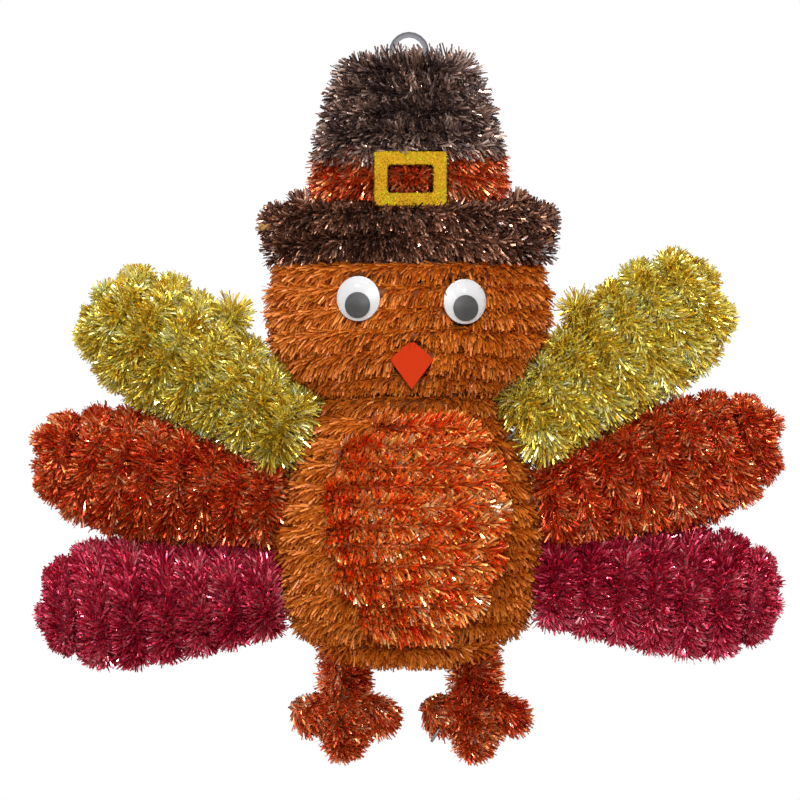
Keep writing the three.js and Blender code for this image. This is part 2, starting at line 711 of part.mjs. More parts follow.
function addFoot(parent, side, bodyTinsel) {
  const name = side < 0 ? "left" : "right";
  const hub = new THREE.Vector3(side * LEG_X, LEG_Y, FOOT_Z);
  const up = new THREE.Vector3(0, 1, 0);
  addPiece(parent, `${name}_foot_wire`, geometryOf(footWire(side, 0)), galvanisedWire);
  const between = THREE.MathUtils.degToRad(90 - SIDE_TOE_DROP) / 2; // half the angle between two toes
  const under = new THREE.Matrix4().makeRotationX(Math.PI / 2).setPosition(hub);
  const overLeg = (x, y) => Math.hypot(x, y) <= LEG_SEAT_RADIUS;
  const legLength = frontReach(bodyTinsel, under, overLeg) - SEAT_GAP;
  const legCone = 1; // as steep as it is wide
  const legSleeve = sleeve(LEG_RADIUS, legLength, legCone, false);
  const leg = addPiece(parent, `${name}_leg_tinsel`, legSleeve, copperTinsel);
  leg.position.copy(hub);
  leg.quaternion.setFromUnitVectors(up, new THREE.Vector3(0, 0, 1));
  for (const toe of toes()) {
    const geometry = sleeve(TOE_RADIUS, toe.length, Math.tan(between), true);
    const mesh = addPiece(parent, `${name}_foot_${toe.name}_tinsel`, geometry, copperTinsel);
    mesh.position.copy(hub);
    mesh.quaternion.setFromUnitVectors(up, toe.direction);
  }
}

// Seats on the garlands

// How far the front of a carrying piece reaches in a piece's own frame, over the piece's footprint.
function frontReach(geometry, frame, inFootprint) {
  const inverse = frame.clone().invert();
  const positions = geometry.attributes.position;
  const grid = 24;
  let front = Infinity;
  for (let i = 0; i < geometry.index.count; i += 3) {
    const [a, b, c] = [0, 1, 2].map((k) =>
      new THREE.Vector3().fromBufferAttribute(positions, geometry.index.getX(i + k)).applyMatrix4(inverse),
    );
    for (let u = 0; u <= grid; u++) {
      for (let v = 0; v <= grid - u; v++) {
        const point = a.clone().lerp(b, u / grid).addScaledVector(c.clone().sub(a), v / grid);
        if (inFootprint(point.x, point.z)) front = Math.min(front, point.y);
      }
    }
  }
  return front;
}

function seatOn(piece, carriers, inFootprint) {
  piece.updateMatrix();
  const reaches = carriers.map((geometry) => frontReach(geometry, piece.matrix, inFootprint));
  piece.translateY(Math.min(...reaches) - SEAT_GAP);
}

// Eyes: a white disc, a clear flanged dome and a black pupil that lies at the bottom of the dome

function dome() {
  const outer = EYE_RADIUS - EYE_FLANGE;
  const inner = outer - EYE_WALL;
  const cap = (radius, height) =>
    Array.from({ length: CAP_STEPS + 1 }, (_, i) => {
      const angle = (Math.PI / 2) * (i / CAP_STEPS);
      return new THREE.Vector2(radius * Math.sin(angle), -EYE_SKIRT - (height - EYE_SKIRT) * Math.cos(angle));
    });
  const outline = [
    ...cap(outer, EYE_HEIGHT),
    new THREE.Vector2(outer, -SEAT_GAP - EYE_FLANGE),
    new THREE.Vector2(EYE_RADIUS, -SEAT_GAP - EYE_FLANGE),
    new THREE.Vector2(EYE_RADIUS, -SEAT_GAP),
    new THREE.Vector2(inner, -SEAT_GAP),
    ...cap(inner, EYE_HEIGHT - EYE_WALL).reverse(),
  ];
  return new THREE.LatheGeometry(outline, ROUND_SIDES);
}

function disc(radius, thickness) {
  return new THREE.CylinderGeometry(radius, radius, thickness, ROUND_SIDES).translate(0, -thickness / 2, 0);
}

function addEye(parent, name, x, z, headTinsel) {
  const row = headGarland.layer;
  const angle = Math.acos(x / (figure.halfWidth(z) + row));
  const outward = surfaceNormal(figure, z, angle);
  const eye = new THREE.Group();
  eye.rotation.z = Math.atan2(outward.x, -outward.y);
  eye.position.set(x, -(figure.depth(z) + row) * Math.sin(angle), z);
  seatOn(eye, [headTinsel], (across, up) => Math.hypot(across, up) <= EYE_RADIUS + SEAT_GAP);
  addPiece(eye, `${name}_eye_back`, disc(EYE_RADIUS, EYE_BACK_THICKNESS), whitePlastic);
  const front = new THREE.Group();
  front.position.y = -EYE_BACK_THICKNESS;
  addPiece(front, `${name}_eye_dome`, dome(), clearSheet);
  const pupil = addPiece(front, `${name}_pupil`, disc(PUPIL_RADIUS, PUPIL_THICKNESS), blackPlastic);
  pupil.position.set(0, -PUPIL_LIFT, -(EYE_RADIUS - EYE_FLANGE - EYE_WALL - ROLL_GAP - PUPIL_RADIUS));
  eye.add(front);
  parent.add(eye);
}

// Beak, buckle and hang loop

function addBeak(parent, headTinsel) {
  const half = BEAK_WIDTH / 2;
  const outline = new THREE.Shape();
  outline.moveTo(-BEAK_BLUNT / 2, 0);
  outline.lineTo(-half, -BEAK_SHOULDER);
  outline.lineTo(0, -BEAK_HEIGHT);
  outline.lineTo(half, -BEAK_SHOULDER);
  outline.lineTo(BEAK_BLUNT / 2, 0);
  outline.closePath();
  const beak = addPiece(parent, "beak", flatPiece(outline, BEAK_THICKNESS), redFelt);
  beak.position.set(BEAK_X, 0, BEAK_TOP_Z);
  seatOn(beak, [headTinsel], (across, up) => Math.abs(across) <= half && up <= 0 && up >= -BEAK_HEIGHT);
}

function roundedRectangle(path, width, height, corner) {
  const x = width / 2;
  const y = height / 2;
  path.moveTo(-x + corner, -y);
  path.lineTo(x - corner, -y);
  path.quadraticCurveTo(x, -y, x, -y + corner);
  path.lineTo(x, y - corner);
  path.quadraticCurveTo(x, y, x - corner, y);
  path.lineTo(-x + corner, y);
  path.quadraticCurveTo(-x, y, -x, y - corner);
  path.lineTo(-x, -y + corner);
  path.quadraticCurveTo(-x, -y, -x + corner, -y);
  return path;
}

function addBuckle(parent, bandTinsel, brimTinsel, formGeometry) {
  const outline = roundedRectangle(new THREE.Shape(), BUCKLE_WIDTH, BUCKLE_HEIGHT, BUCKLE_CORNER);
  const inside = [BUCKLE_WIDTH - 2 * BUCKLE_BORDER, BUCKLE_HEIGHT - 2 * BUCKLE_BORDER];
  outline.holes.push(roundedRectangle(new THREE.Path(), ...inside, BUCKLE_CORNER));
  const buckle = addPiece(parent, "hat_buckle", flatPiece(outline, BUCKLE_THICKNESS), goldGlitter);
  buckle.position.set(BUCKLE_X, 0, BUCKLE_Z);
  const across = BUCKLE_WIDTH / 2 + SEAT_GAP;
  const up = BUCKLE_HEIGHT / 2 + SEAT_GAP;
  const covers = (x, z) => Math.abs(x) <= across && Math.abs(z) <= up;
  seatOn(buckle, [bandTinsel, brimTinsel, formGeometry], covers);
}

// A ring with a flat tail that goes down through a slot in the crown's top.
function hangLoop(clearance) {
  const half = LOOP_TAIL_WIDTH / 2 + clearance;
  const radius = LOOP_RADIUS + clearance;
  const shoulder = Math.asin(half / radius);
  const outline = new THREE.Shape();
  outline.moveTo(-half, LOOP_TAIL_END_Z - clearance);
  outline.lineTo(half, LOOP_TAIL_END_Z - clearance);
  outline.absarc(0, 0, radius, shoulder - Math.PI / 2, Math.PI * 1.5 - shoulder, false);
  outline.closePath();
  outline.holes.push(new THREE.Path().absarc(0, 0, LOOP_HOLE_RADIUS, 0, 2 * Math.PI, true));
  const geometry = flatPiece(outline, LOOP_THICKNESS + 2 * clearance);
  return geometry.translate(0, LOOP_Y + clearance, 0);
}

// Assembly

// The loop's middle lies in the plane of the origin
const turkey = new THREE.Group();
turkey.position.y = LOOP_THICKNESS / 2 - LOOP_Y;
addPiece(turkey, "hang_loop", hangLoop(0), clearSheet);

const stemHole = ({ group }) => solidOf(stemGeometry(SEAT_GAP).applyMatrix4(group.matrixWorld));
const stemHoles = feathers.map(stemHole);
const legHoles = [-1, 1].map((side) => footWire(side, SEAT_GAP));
const cutHoles = (solid) => [...stemHoles, ...legHoles].reduce((left, hole) => left.subtract(hole), solid);
const figureForm = cutHoles(openShell(figure)).subtract(solidOf(hangLoop(SEAT_GAP)));
const formGeometry = geometryOf(figureForm);
addPiece(turkey, "figure_form", formGeometry, clearSheet);

const crown = garland(figure, CROWN_PITCH, FIGURE_PILE);
const band = garland(figure, BAND_PITCH, FIGURE_PILE);
const brim = garland(figure, BRIM_PITCH, FIGURE_PILE);
const crownTinsel = woundGarland("hat_crown_tinsel", crown, CROWN_TOP_Z, bandTop);
const bandTinsel = woundGarland("hat_band_tinsel", band, bandTop, ledgeTop);
const brimTinsel = woundGarland("hat_brim_tinsel", brim, brimTop, headTop + CORNER_GAP);
const headTinsel = woundGarland("head_tinsel", headGarland, headTop - CORNER_GAP, bodyTop + CORNER_GAP);
const bodyTinsel = woundGarland("body_tinsel", bodyGarland, bodyTop - CORNER_GAP, bodyBottom);
addPiece(turkey, "hat_crown_tinsel", crownTinsel, brownTinsel);
addPiece(turkey, "hat_band_tinsel", bandTinsel, copperTinsel);
addPiece(turkey, "hat_brim_tinsel", brimTinsel, brownTinsel);
addPiece(turkey, "head_tinsel", headTinsel, caramelTinsel);
addPiece(turkey, "body_tinsel", geometryOf(cutHoles(solidOf(bodyTinsel))), caramelTinsel);
addPiece(turkey, "belly_tinsel", bellyGarland("belly_tinsel"), copperTinsel);
addBuckle(turkey, bandTinsel, brimTinsel, formGeometry);
addBeak(turkey, headTinsel);
addEye(turkey, "left", LEFT_EYE_X, LEFT_EYE_Z, headTinsel);
addEye(turkey, "right", RIGHT_EYE_X, RIGHT_EYE_Z, headTinsel);
feathers.forEach((feather) => addFeather(turkey, feather));
addFoot(turkey, -1, bodyTinsel);
addFoot(turkey, 1, bodyTinsel);

const part = new THREE.Group();
part.add(turkey);
export default part;
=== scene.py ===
import json
import math

import bmesh
import bpy
from mathutils import Matrix, Vector


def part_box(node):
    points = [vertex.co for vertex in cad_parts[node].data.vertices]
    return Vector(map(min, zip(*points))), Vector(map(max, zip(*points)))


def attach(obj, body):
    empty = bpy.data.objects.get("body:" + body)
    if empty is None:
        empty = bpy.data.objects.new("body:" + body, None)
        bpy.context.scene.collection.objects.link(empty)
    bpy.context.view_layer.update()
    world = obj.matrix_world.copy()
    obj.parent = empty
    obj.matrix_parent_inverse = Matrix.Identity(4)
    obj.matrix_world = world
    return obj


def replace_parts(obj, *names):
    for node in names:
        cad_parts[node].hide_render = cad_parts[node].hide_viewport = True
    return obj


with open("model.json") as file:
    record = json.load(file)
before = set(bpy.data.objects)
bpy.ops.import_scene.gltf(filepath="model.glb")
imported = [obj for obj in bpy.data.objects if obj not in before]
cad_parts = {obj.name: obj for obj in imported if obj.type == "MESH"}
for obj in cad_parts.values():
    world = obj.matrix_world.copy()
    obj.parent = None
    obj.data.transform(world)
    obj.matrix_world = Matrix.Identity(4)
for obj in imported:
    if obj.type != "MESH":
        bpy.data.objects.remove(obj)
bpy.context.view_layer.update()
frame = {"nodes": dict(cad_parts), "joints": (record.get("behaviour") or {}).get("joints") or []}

nodes = frame["nodes"]

# The studio. The decoration hangs in front of a white background, seen straight on, in the light
# of four lamps above and in front of it, with a pale floor far below.
MM = 0.001
PICTURE_WIDTH = 800
PIXELS_PER_MM = 2.2
FRAME_WIDTH = PICTURE_WIDTH / PIXELS_PER_MM * MM
VIEW_CENTRE = Vector((-4.1 * MM, 0, -158.2 * MM))
CAMERA_DISTANCE = 2.0
CAMERA_SENSOR = 36
CAMERA_NEAR = 0.01
SOFT_LIGHT = 0.3
WHITE_LIGHT = 1.0
FLOOR_Z = -1.2
FLOOR_RADIUS = 8.0
FLOOR_SIDES = 64
FLOOR_PALENESS = 0.6


def linear(code):
    """Linear colour with alpha from an sRGB hex code."""
    parts = [int(code[i:i + 2], 16) / 255 for i in (0, 2, 4)]
    return tuple(c / 12.92 if c <= 0.04045 else ((c + 0.055) / 1.055) ** 2.4 for c in parts) + (1.0,)


def add(tree, kind, inputs=None, **settings):
    """One node with its settings. An input is a value, a socket, or a node whose first output is meant."""
    node = tree.nodes.new(kind)
    for name, value in settings.items():
        setattr(node, name, value)
    for name, value in (inputs or {}).items():
        if isinstance(value, bpy.types.Node):
            value = value.outputs[0]
        if isinstance(value, bpy.types.NodeSocket):
            tree.links.new(value, node.inputs[name])
        else:
            node.inputs[name].default_value = value
    return node


def new_material(name):
    """An empty node material and its tree."""
    material = bpy.data.materials.new(name)
    material.use_nodes = True
    material.node_tree.nodes.clear()
    return material, material.node_tree


def put_in_scene(name, data):
    """A new object of the scene, at the origin."""
    thing = bpy.data.objects.new(name, data)
    bpy.context.scene.collection.objects.link(thing)
    return thing


def mesh_object(name, shape, material=None):
    """A bmesh, which is used up, as a named object of the scene."""
    mesh = bpy.data.meshes.new(name)
    shape.to_mesh(mesh)
    shape.free()
    if material:
        mesh.materials.append(material)
    return put_in_scene(name, mesh)


bpy.context.scene.view_settings.view_transform = "Standard"
camera = put_in_scene("camera", bpy.data.cameras.new("camera"))
camera.location = VIEW_CENTRE + Vector((0, -CAMERA_DISTANCE, 0))
camera.rotation_euler = (math.pi / 2, 0, 0)
camera.data.sensor_width = CAMERA_SENSOR
camera.data.lens = CAMERA_SENSOR * CAMERA_DISTANCE / FRAME_WIDTH
camera.data.clip_start = CAMERA_NEAR
bpy.context.scene.camera = camera


def lamp(name, place, width, watts):
    """A round lamp that points at the middle of the view."""
    light = bpy.data.lights.new(name, "AREA")
    light.shape = "DISK"
    light.size = width
    light.energy = watts
    holder = put_in_scene(name, light)
    holder.location = place
    aim = VIEW_CENTRE - holder.location
    holder.rotation_euler = aim.to_track_quat("-Z", "Y").to_euler()


lamp("left_lamp", (-0.8, -1.4, 0.8), width=0.35, watts=1.5)
lamp("right_lamp", (0.8, -1.5, 0.7), width=0.3, watts=2)
lamp("top_lamp", (-0.1, -1.0, 1.35), width=0.3, watts=14)
lamp("front_lamp", (-0.1, -2.1, 0.35), width=0.25, watts=19)


def shows_background(tree):
    """1 on rays that show the background: from the camera, off a mirror or through clear plastic."""
    ray = add(tree, "ShaderNodeLightPath").outputs
    seen = ray["Is Camera Ray"]
    for other in ("Is Glossy Ray", "Is Transmission Ray"):
        seen = add(tree, "ShaderNodeMath", {0: seen, 1: ray[other]}, operation="MAXIMUM")
    return seen


world = bpy.data.worlds.new("white_studio")
world.use_nodes = True
bpy.context.scene.world = world
sky = world.node_tree
sky.nodes.clear()
soft = add(sky, "ShaderNodeBackground", {"Color": linear("FFFFFF"), "Strength": SOFT_LIGHT})
white = add(sky, "ShaderNodeBackground", {"Color": linear("FFFFFF"), "Strength": WHITE_LIGHT})
both = add(sky, "ShaderNodeMixShader", {0: shows_background(sky), 1: soft, 2: white})
add(sky, "ShaderNodeOutputWorld", {"Surface": both})

# Floor paint gives the eye an even pale ground that runs into the background and keeps a soft shadow
floor_paint, tree = new_material("pale_floor_paint")
paint = add(tree, "ShaderNodeBsdfPrincipled", {"Base Color": linear("E4E4E2"), "Roughness": 0.8})
pale = add(tree, "ShaderNodeEmission", {"Color": linear("F4F4F2"), "Strength": WHITE_LIGHT})
share = add(tree, "ShaderNodeMath", {0: shows_background(tree), 1: FLOOR_PALENESS}, operation="MULTIPLY")
both = add(tree, "ShaderNodeMixShader", {0: share, 1: paint, 2: pale})
add(tree, "ShaderNodeOutputMaterial", {"Surface": both})
shape = bmesh.new()
bmesh.ops.create_circle(shape, cap_ends=True, segments=FLOOR_SIDES, radius=FLOOR_RADIUS)
floor = mesh_object("floor", shape, floor_paint)
floor.location.z = FLOOR_Z

# The formed shells of hat, head, body and feathers, and the hang loop through the crown's top.
# Clear PET sheet, drawn over a mould and trimmed; the loop is a flat strip with a punched hole.
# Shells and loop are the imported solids, which keep their own shape.
SIDES = ("left", "right")
FEATHERS = ("gold", "orange", "crimson")
SHEET_CLOUD = 9 * MM
SHEET_CLOUD_COLOUR = "9A8E84"
LOOP_HOLE = 7.4 * MM
LOOP_EDGE = 9.0 * MM


def mottled(tree, grain, dark, light, **more):
    """A noise on the object's own coordinates, and two tones mixed by it."""
    place = add(tree, "ShaderNodeTexCoord").outputs["Object"]
    noise = add(tree, "ShaderNodeTexNoise", {"Vector": place, "Scale": 1 / grain, **more})
    tones = {0: noise, 6: linear(dark), 7: linear(light)}
    return noise, add(tree, "ShaderNodeMix", tones, data_type="RGBA").outputs[2]


def clear_plastic(name, tint, alpha, roughness, mirror):
    """Clear plastic gives the eye a faint veil of reflected light and sharp highlights on every bend."""
    material, tree = new_material(name)
    veil = add(tree, "ShaderNodeBsdfPrincipled", {
        "Base Color": mottled(tree, SHEET_CLOUD, tint, SHEET_CLOUD_COLOUR)[1],
        "Metallic": mirror,
        "Roughness": roughness,
        "Alpha": alpha,
    })
    add(tree, "ShaderNodeOutputMaterial", {"Surface": veil})
    return material


form_sheet = clear_plastic("clear_pet_sheet", "8A7460", alpha=0.85, roughness=0.2, mirror=0.0)

# The loop's sheet gives the eye a grey ring with a dark outer line: its colour is painted darker towards the
# outer rim, a painted shade for the sheet seen edge on there
loop_sheet, tree = new_material("clear_pet_loop")
place = add(tree, "ShaderNodeTexCoord").outputs["Object"]
reach = add(tree, "ShaderNodeVectorMath", {0: place}, operation="LENGTH").outputs["Value"]
rim = add(tree, "ShaderNodeMapRange", {0: reach, 1: LOOP_HOLE, 2: LOOP_EDGE})
tone = add(tree, "ShaderNodeMix", {0: rim, 6: linear("86848C"), 7: linear("34343A")}, data_type="RGBA")
strip = add(tree, "ShaderNodeBsdfPrincipled", {
    "Base Color": tone.outputs[2],
    "Roughness": 0.5,
    "Alpha": 0.9,
})
add(tree, "ShaderNodeOutputMaterial", {"Surface": strip})


def dress(name, material):
    """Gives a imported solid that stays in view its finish."""
    nodes[name].data.materials.clear()
    nodes[name].data.materials.append(material)


dress("hang_loop", loop_sheet)
dress("figure_form", form_sheet)
for side in SIDES:
    for colour in FEATHERS:
        dress(f"{side}_{colour}_feather_form", form_sheet)

# The wire of the feather stems and of the feet, bent by hand and pushed through the shells.
# Galvanised steel, which gives the eye a dull grey with a mottled zinc bloom.
ZINC_BLOOM = 1.5 * MM
wire_material, tree = new_material("galvanised_steel_wire")
bloom, zinc = mottled(tree, ZINC_BLOOM, "6F6E6A", "A8A6A0")
rough = add(tree, "ShaderNodeMapRange", {0: bloom, 3: 0.3, 4: 0.55})
steel = add(tree, "ShaderNodeBsdfPrincipled", {"Base Color": zinc, "Metallic": 0.9, "Roughness": rough})
add(tree, "ShaderNodeOutputMaterial", {"Surface": steel})
for side in SIDES:
    dress(f"{side}_foot_wire", wire_material)
    for colour in FEATHERS:
        dress(f"{side}_{colour}_feather_stem", wire_material)

# The end of one toe's wire, which comes out of the right foot's garland.
# The same steel, bent down and nipped off, so it narrows at its cut.
WIRE_RADIUS = 0.9 * MM
WIRE_BEND = Vector((19.5 * MM, -13.2 * MM, -297.7 * MM))
WIRE_TIP = Vector((10 * MM, -16 * MM, -312.3 * MM))
WIRE_PINCH = 0.25 * MM
WIRE_PINCH_START = 0.7
UP = Vector((0, 0, 1))
LATHE_STEPS = 64


def circle(steps):
    """Evenly spaced angles of one turn."""
    return [math.tau * i / steps for i in range(steps)]


def lathe(name, profile, centre, axis):
    """A turned piece about an axis through a centre, from (radius, height) pairs that end on the axis."""
    side = axis.cross(UP).normalized()
    rise = side.cross(axis)
    spokes = [side * math.cos(a) + rise * math.sin(a) for a in circle(LATHE_STEPS)]
    shape = bmesh.new()
    rings = []
    for radius, height in profile:
        middle = centre + axis * height
        if radius == 0:
            rings.append([shape.verts.new(middle)])
        else:
            rings.append([shape.verts.new(middle + spoke * radius) for spoke in spokes])
    for lower, upper in zip(rings, rings[1:]):
        for i in range(LATHE_STEPS):
            j = (i + 1) % LATHE_STEPS
            if len(lower) == 1:
                shape.faces.new((lower[0], upper[i], upper[j]))
            elif len(upper) == 1:
                shape.faces.new((lower[i], lower[j], upper[0]))
            else:
                shape.faces.new((lower[i], lower[j], upper[j], upper[i]))
    bmesh.ops.recalc_face_normals(shape, faces=shape.faces)
    for face in shape.faces:
        face.smooth = True
    return mesh_object(name, shape)


reach = (WIRE_TIP - WIRE_BEND).length
wire_end = lathe("right_foot_wire_end", [
    (0, 0),
    (WIRE_RADIUS, 0),
    (WIRE_RADIUS, reach * WIRE_PINCH_START),
    (WIRE_RADIUS - WIRE_PINCH, reach),
    (0, reach),
], WIRE_BEND, (WIRE_TIP - WIRE_BEND).normalized())
wire_end.data.materials.append(wire_material)
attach(wire_end, "figure")

# The core of the brim's garland, cut off at the brim's left end.
# Two twisted plies of tan thread, which give the eye a dull, fibrous stub among the foil.
THREAD_PLIES = 2
THREAD_RADIUS = 0.95 * MM
THREAD_TWIST = 0.75 * MM
THREAD_PITCH = 6 * MM
THREAD_LENGTH = 9 * MM
THREAD_START = Vector((-59 * MM, -9 * MM, -80 * MM))
THREAD_STEPS = 24
THREAD_SIDES = 10
THREAD_FIBRE = 0.5 * MM


def bridge(shape, rings):
    """Faces between rings of points, and a cap on each end, all facing outwards."""
    for near, far in zip(rings, rings[1:]):
        for k in range(len(near)):
            shape.faces.new((near[k - 1], far[k - 1], far[k], near[k]))
    shape.faces.new(rings[0])
    shape.faces.new(rings[-1])
    bmesh.ops.recalc_face_normals(shape, faces=shape.faces)


thread_material, tree = new_material("tan_twisted_thread")
tan = mottled(tree, THREAD_FIBRE, "A87838", "C89C5C")[1]
yarn = add(tree, "ShaderNodeBsdfPrincipled", {"Base Color": tan, "Roughness": 0.85})
add(tree, "ShaderNodeOutputMaterial", {"Surface": yarn})
spokes = [Vector((0, math.cos(a), math.sin(a))) * THREAD_RADIUS for a in circle(THREAD_SIDES)]
shape = bmesh.new()
for ply in range(THREAD_PLIES):
    rings = []
    for i in range(THREAD_STEPS + 1):
        reach = THREAD_LENGTH * i / THREAD_STEPS
        turn = math.tau * (reach / THREAD_PITCH + ply / THREAD_PLIES)
        swing = Vector((-reach, math.cos(turn) * THREAD_TWIST, math.sin(turn) * THREAD_TWIST))
        rings.append([shape.verts.new(THREAD_START + swing + spoke) for spoke in spokes])
    bridge(shape, rings)
for face in shape.faces:
    face.smooth = len(face.verts) < THREAD_SIDES
thread_end = mesh_object("brim_garland_end", shape, thread_material)
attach(thread_end, "figure")

# The edges of the brim's clear sheet, which show at both ends of the brim.
# The same PET as the shells, sloping in from the brim to the head and curved round the figure's side.
EDGE_TOP = (63.5 * MM, -88.5 * MM)
EDGE_FOOT = (58 * MM, -97 * MM)
EDGE_DEPTH = 9 * MM
EDGE_FRONT = -4 * MM
EDGE_SHEET = 0.5 * MM
EDGE_CURVE = 6 * MM
EDGE_STEPS = 8
edge_sheet = clear_plastic("clear_pet_edge", "8E8070", alpha=0.85, roughness=0.15, mirror=0.0)
for side, sign in (("left", -1), ("right", 1)):
    shape = bmesh.new()
    rings = []
    for i in range(EDGE_STEPS + 1):
        t = 2 * i / EDGE_STEPS - 1
        inward = (1 - math.cos(t)) * EDGE_CURVE
        y = EDGE_FRONT + t * EDGE_DEPTH
        outside = [(x - inward, z) for x, z in (EDGE_TOP, EDGE_FOOT)]
        inside = [(x - EDGE_SHEET, z) for x, z in reversed(outside)]
        rings.append([shape.verts.new((sign * x, y, z)) for x, z in outside + inside])
    bridge(shape, rings)
    piece = mesh_object(f"{side}_brim_sheet_edge", shape, edge_sheet)
    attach(piece, "figure")

# The tinsel garlands: thousands of narrow strips of metallised film, twisted into a core of thread,
# then wound round the shells in close rows. Each strip stands out from the core, so the rows read as
# ridges with dark valleys and every strip catches the light at its own angle. The valleys' dark is partly
# painted shade: each strip is painted darker towards its root, and the core darker still.
STRIP_LENGTH = 9.4 * MM
STRIP_WIDTH = 1.25 * MM
STRIP_TAPER = 0.2
STRIP_BEND = 1.5 * MM
STRIP_POINTS_ACROSS = 2
STRIP_POINTS_ALONG = 3
SMALLEST_STRIP = (0.8, 1, 0.72)
LARGEST_STRIP = (1.2, 1.6, 1.06)
ROOT_DEPTH = 3.0 * MM
CORE_DEPTH = 0.8 * MM
# Painted shade: the core's darker tint, how dark strip roots and the core are painted, and over what share
# of the strand map the core's dark fades
SHADE_TINT_OF_CORE = 0.3
PAINTED_ROOT_SHADE = 0.85
PAINTED_CORE_SHADE = 0.3
PAINTED_CORE_SPAN = 0.2
GLOSS_SPREAD = 37.0
GLOSS_LOW = 0.2
GLOSS_HIGH = 0.7
COAT_START = 0.05
COAT_FULL = 0.3
COAT_ROUGHNESS = 0.12
COAT_IOR = 1.5
TURNED_AWAY = -0.15
EDGE_SHARE = 0.85
CURL_SPAN = 60 * MM
GLUED_REACH = 30 * MM
OVERHANG = 1.1
CUT_SHARE = 0.65
PATCH_LOW = 0.3
PATCH_HIGH = 0.7
PATCH_SHARE = 0.35
CORNER_PEAK = 4.0
PINCH_SPAN = 12 * MM
MATH = "ShaderNodeMath"
VECTOR_MATH = "ShaderNodeVectorMath"
RANDOM = "FunctionNodeRandomValue"
STORE = "GeometryNodeStoreNamedAttribute"
STORED = "GeometryNodeInputNamedAttribute"


def strand_colours(tree, shades):
    """The strand map's two values, and the colour that the first picks from evenly spaced sRGB codes."""
    strand = add(tree, "ShaderNodeUVMap", uv_map="strand")
    split = add(tree, "ShaderNodeSeparateXYZ", {0: strand}).outputs
    ramp = add(tree, "ShaderNodeValToRGB", {0: split["X"]})
    stops = ramp.color_ramp.elements
    for i, code in enumerate(shades):
        position = i / (len(shades) - 1)
        stop = stops[i] if i < 2 else stops.new(position)
        stop.position = position
        stop.color = linear(code)
    return split["X"], split["Y"], ramp


def film(name, shades, metallic, dull, shiny, coat):
    """Metallised film, painted darker towards each strip's root and darkest on the core, a painted shade for
    where strips shade each other; bright and tinted where they face a lamp.
    The strand map holds each strip's own tint across and the way from its root to its tip upwards."""
    material, tree = new_material(name)
    tint, climb, colour = strand_colours(tree, shades)
    # Painted shade: the colour is multiplied down towards each strip's root, and further at the very bottom,
    # where the core lies
    outer = add(tree, "ShaderNodeMapRange", {0: climb, 3: PAINTED_ROOT_SHADE, 4: 1.0})
    inner = add(tree, "ShaderNodeMapRange", {0: climb, 2: PAINTED_CORE_SPAN, 3: PAINTED_CORE_SHADE, 4: 1.0})
    depth = add(tree, MATH, {0: outer, 1: inner}, operation="MINIMUM")
    painted_shade_colour = add(tree, "ShaderNodeMix", {0: 1.0, 6: colour, 7: depth},
                 data_type="RGBA", blend_type="MULTIPLY")
    spread = add(tree, MATH, {0: tint, 1: GLOSS_SPREAD}, operation="MULTIPLY")
    pick = add(tree, MATH, {0: spread}, operation="FRACT")
    gloss = add(tree, "ShaderNodeMapRange", {0: pick, 1: GLOSS_LOW, 2: GLOSS_HIGH, 3: dull, 4: shiny})
    coated = add(tree, "ShaderNodeMapRange", {0: climb, 1: COAT_START, 2: COAT_FULL, 3: 0.0, 4: coat})
    foil = add(tree, "ShaderNodeBsdfPrincipled", {
        "Base Color": painted_shade_colour.outputs[2],
        "Metallic": metallic,
        "Roughness": gloss,
        "Coat Weight": coated,
        "Coat Roughness": COAT_ROUGHNESS,
        "Coat IOR": COAT_IOR,
    })
    add(tree, "ShaderNodeOutputMaterial", {"Surface": foil})
    return material


def geometry_tree(name, inputs):
    """A geometry tree with named inputs, and the sockets that give them."""
    tree = bpy.data.node_groups.new(name, "GeometryNodeTree")
    sockets = tree.interface
    sockets.new_socket("Geometry", in_out="OUTPUT", socket_type="NodeSocketGeometry")
    sockets.new_socket("Geometry", in_out="INPUT", socket_type="NodeSocketGeometry")
    for label, kind in inputs.items():
        sockets.new_socket(label, in_out="INPUT", socket_type=f"NodeSocket{kind}")
    return tree, add(tree, "NodeGroupInput").outputs


def patchy(tree, place, scale, low, high, own, share):
    """A tint from 0 to 1: each point's own, mixed with that of the patch it lies in."""
    noise = add(tree, "ShaderNodeTexNoise", {"Vector": place, "Scale": scale, "Detail": 1.0})
    patch = add(tree, "ShaderNodeMapRange", {0: noise, 1: low, 2: high})
    return add(tree, "ShaderNodeMix", {0: share, 2: own, 3: patch})


def finish_tree(tree, base, grown, upwards, working, material):
    """Joins the base and what grew on it. Tint across and another value upwards go into the strand map,
    and into an equal one for baking. The working values are dropped."""
    whole = add(tree, "GeometryNodeJoinGeometry")
    for part in (base, grown):
        tree.links.new(part.outputs[0], whole.inputs[0])
    tint = add(tree, STORED, {"Name": "tint"}, data_type="FLOAT")
    pair = add(tree, "ShaderNodeCombineXYZ", {"X": tint, "Y": upwards})
    for name in ("strand", "OFBake"):
        mapped = {"Geometry": whole, "Name": name, "Value": pair}
        whole = add(tree, STORE, mapped, data_type="FLOAT2", domain="CORNER")
    for name in working:
        whole = add(tree, "GeometryNodeRemoveAttribute", {"Geometry": whole, "Name": name})
    covered = add(tree, "GeometryNodeSetMaterial", {"Geometry": whole, "Material": material})
    add(tree, "NodeGroupOutput", {"Geometry": covered})


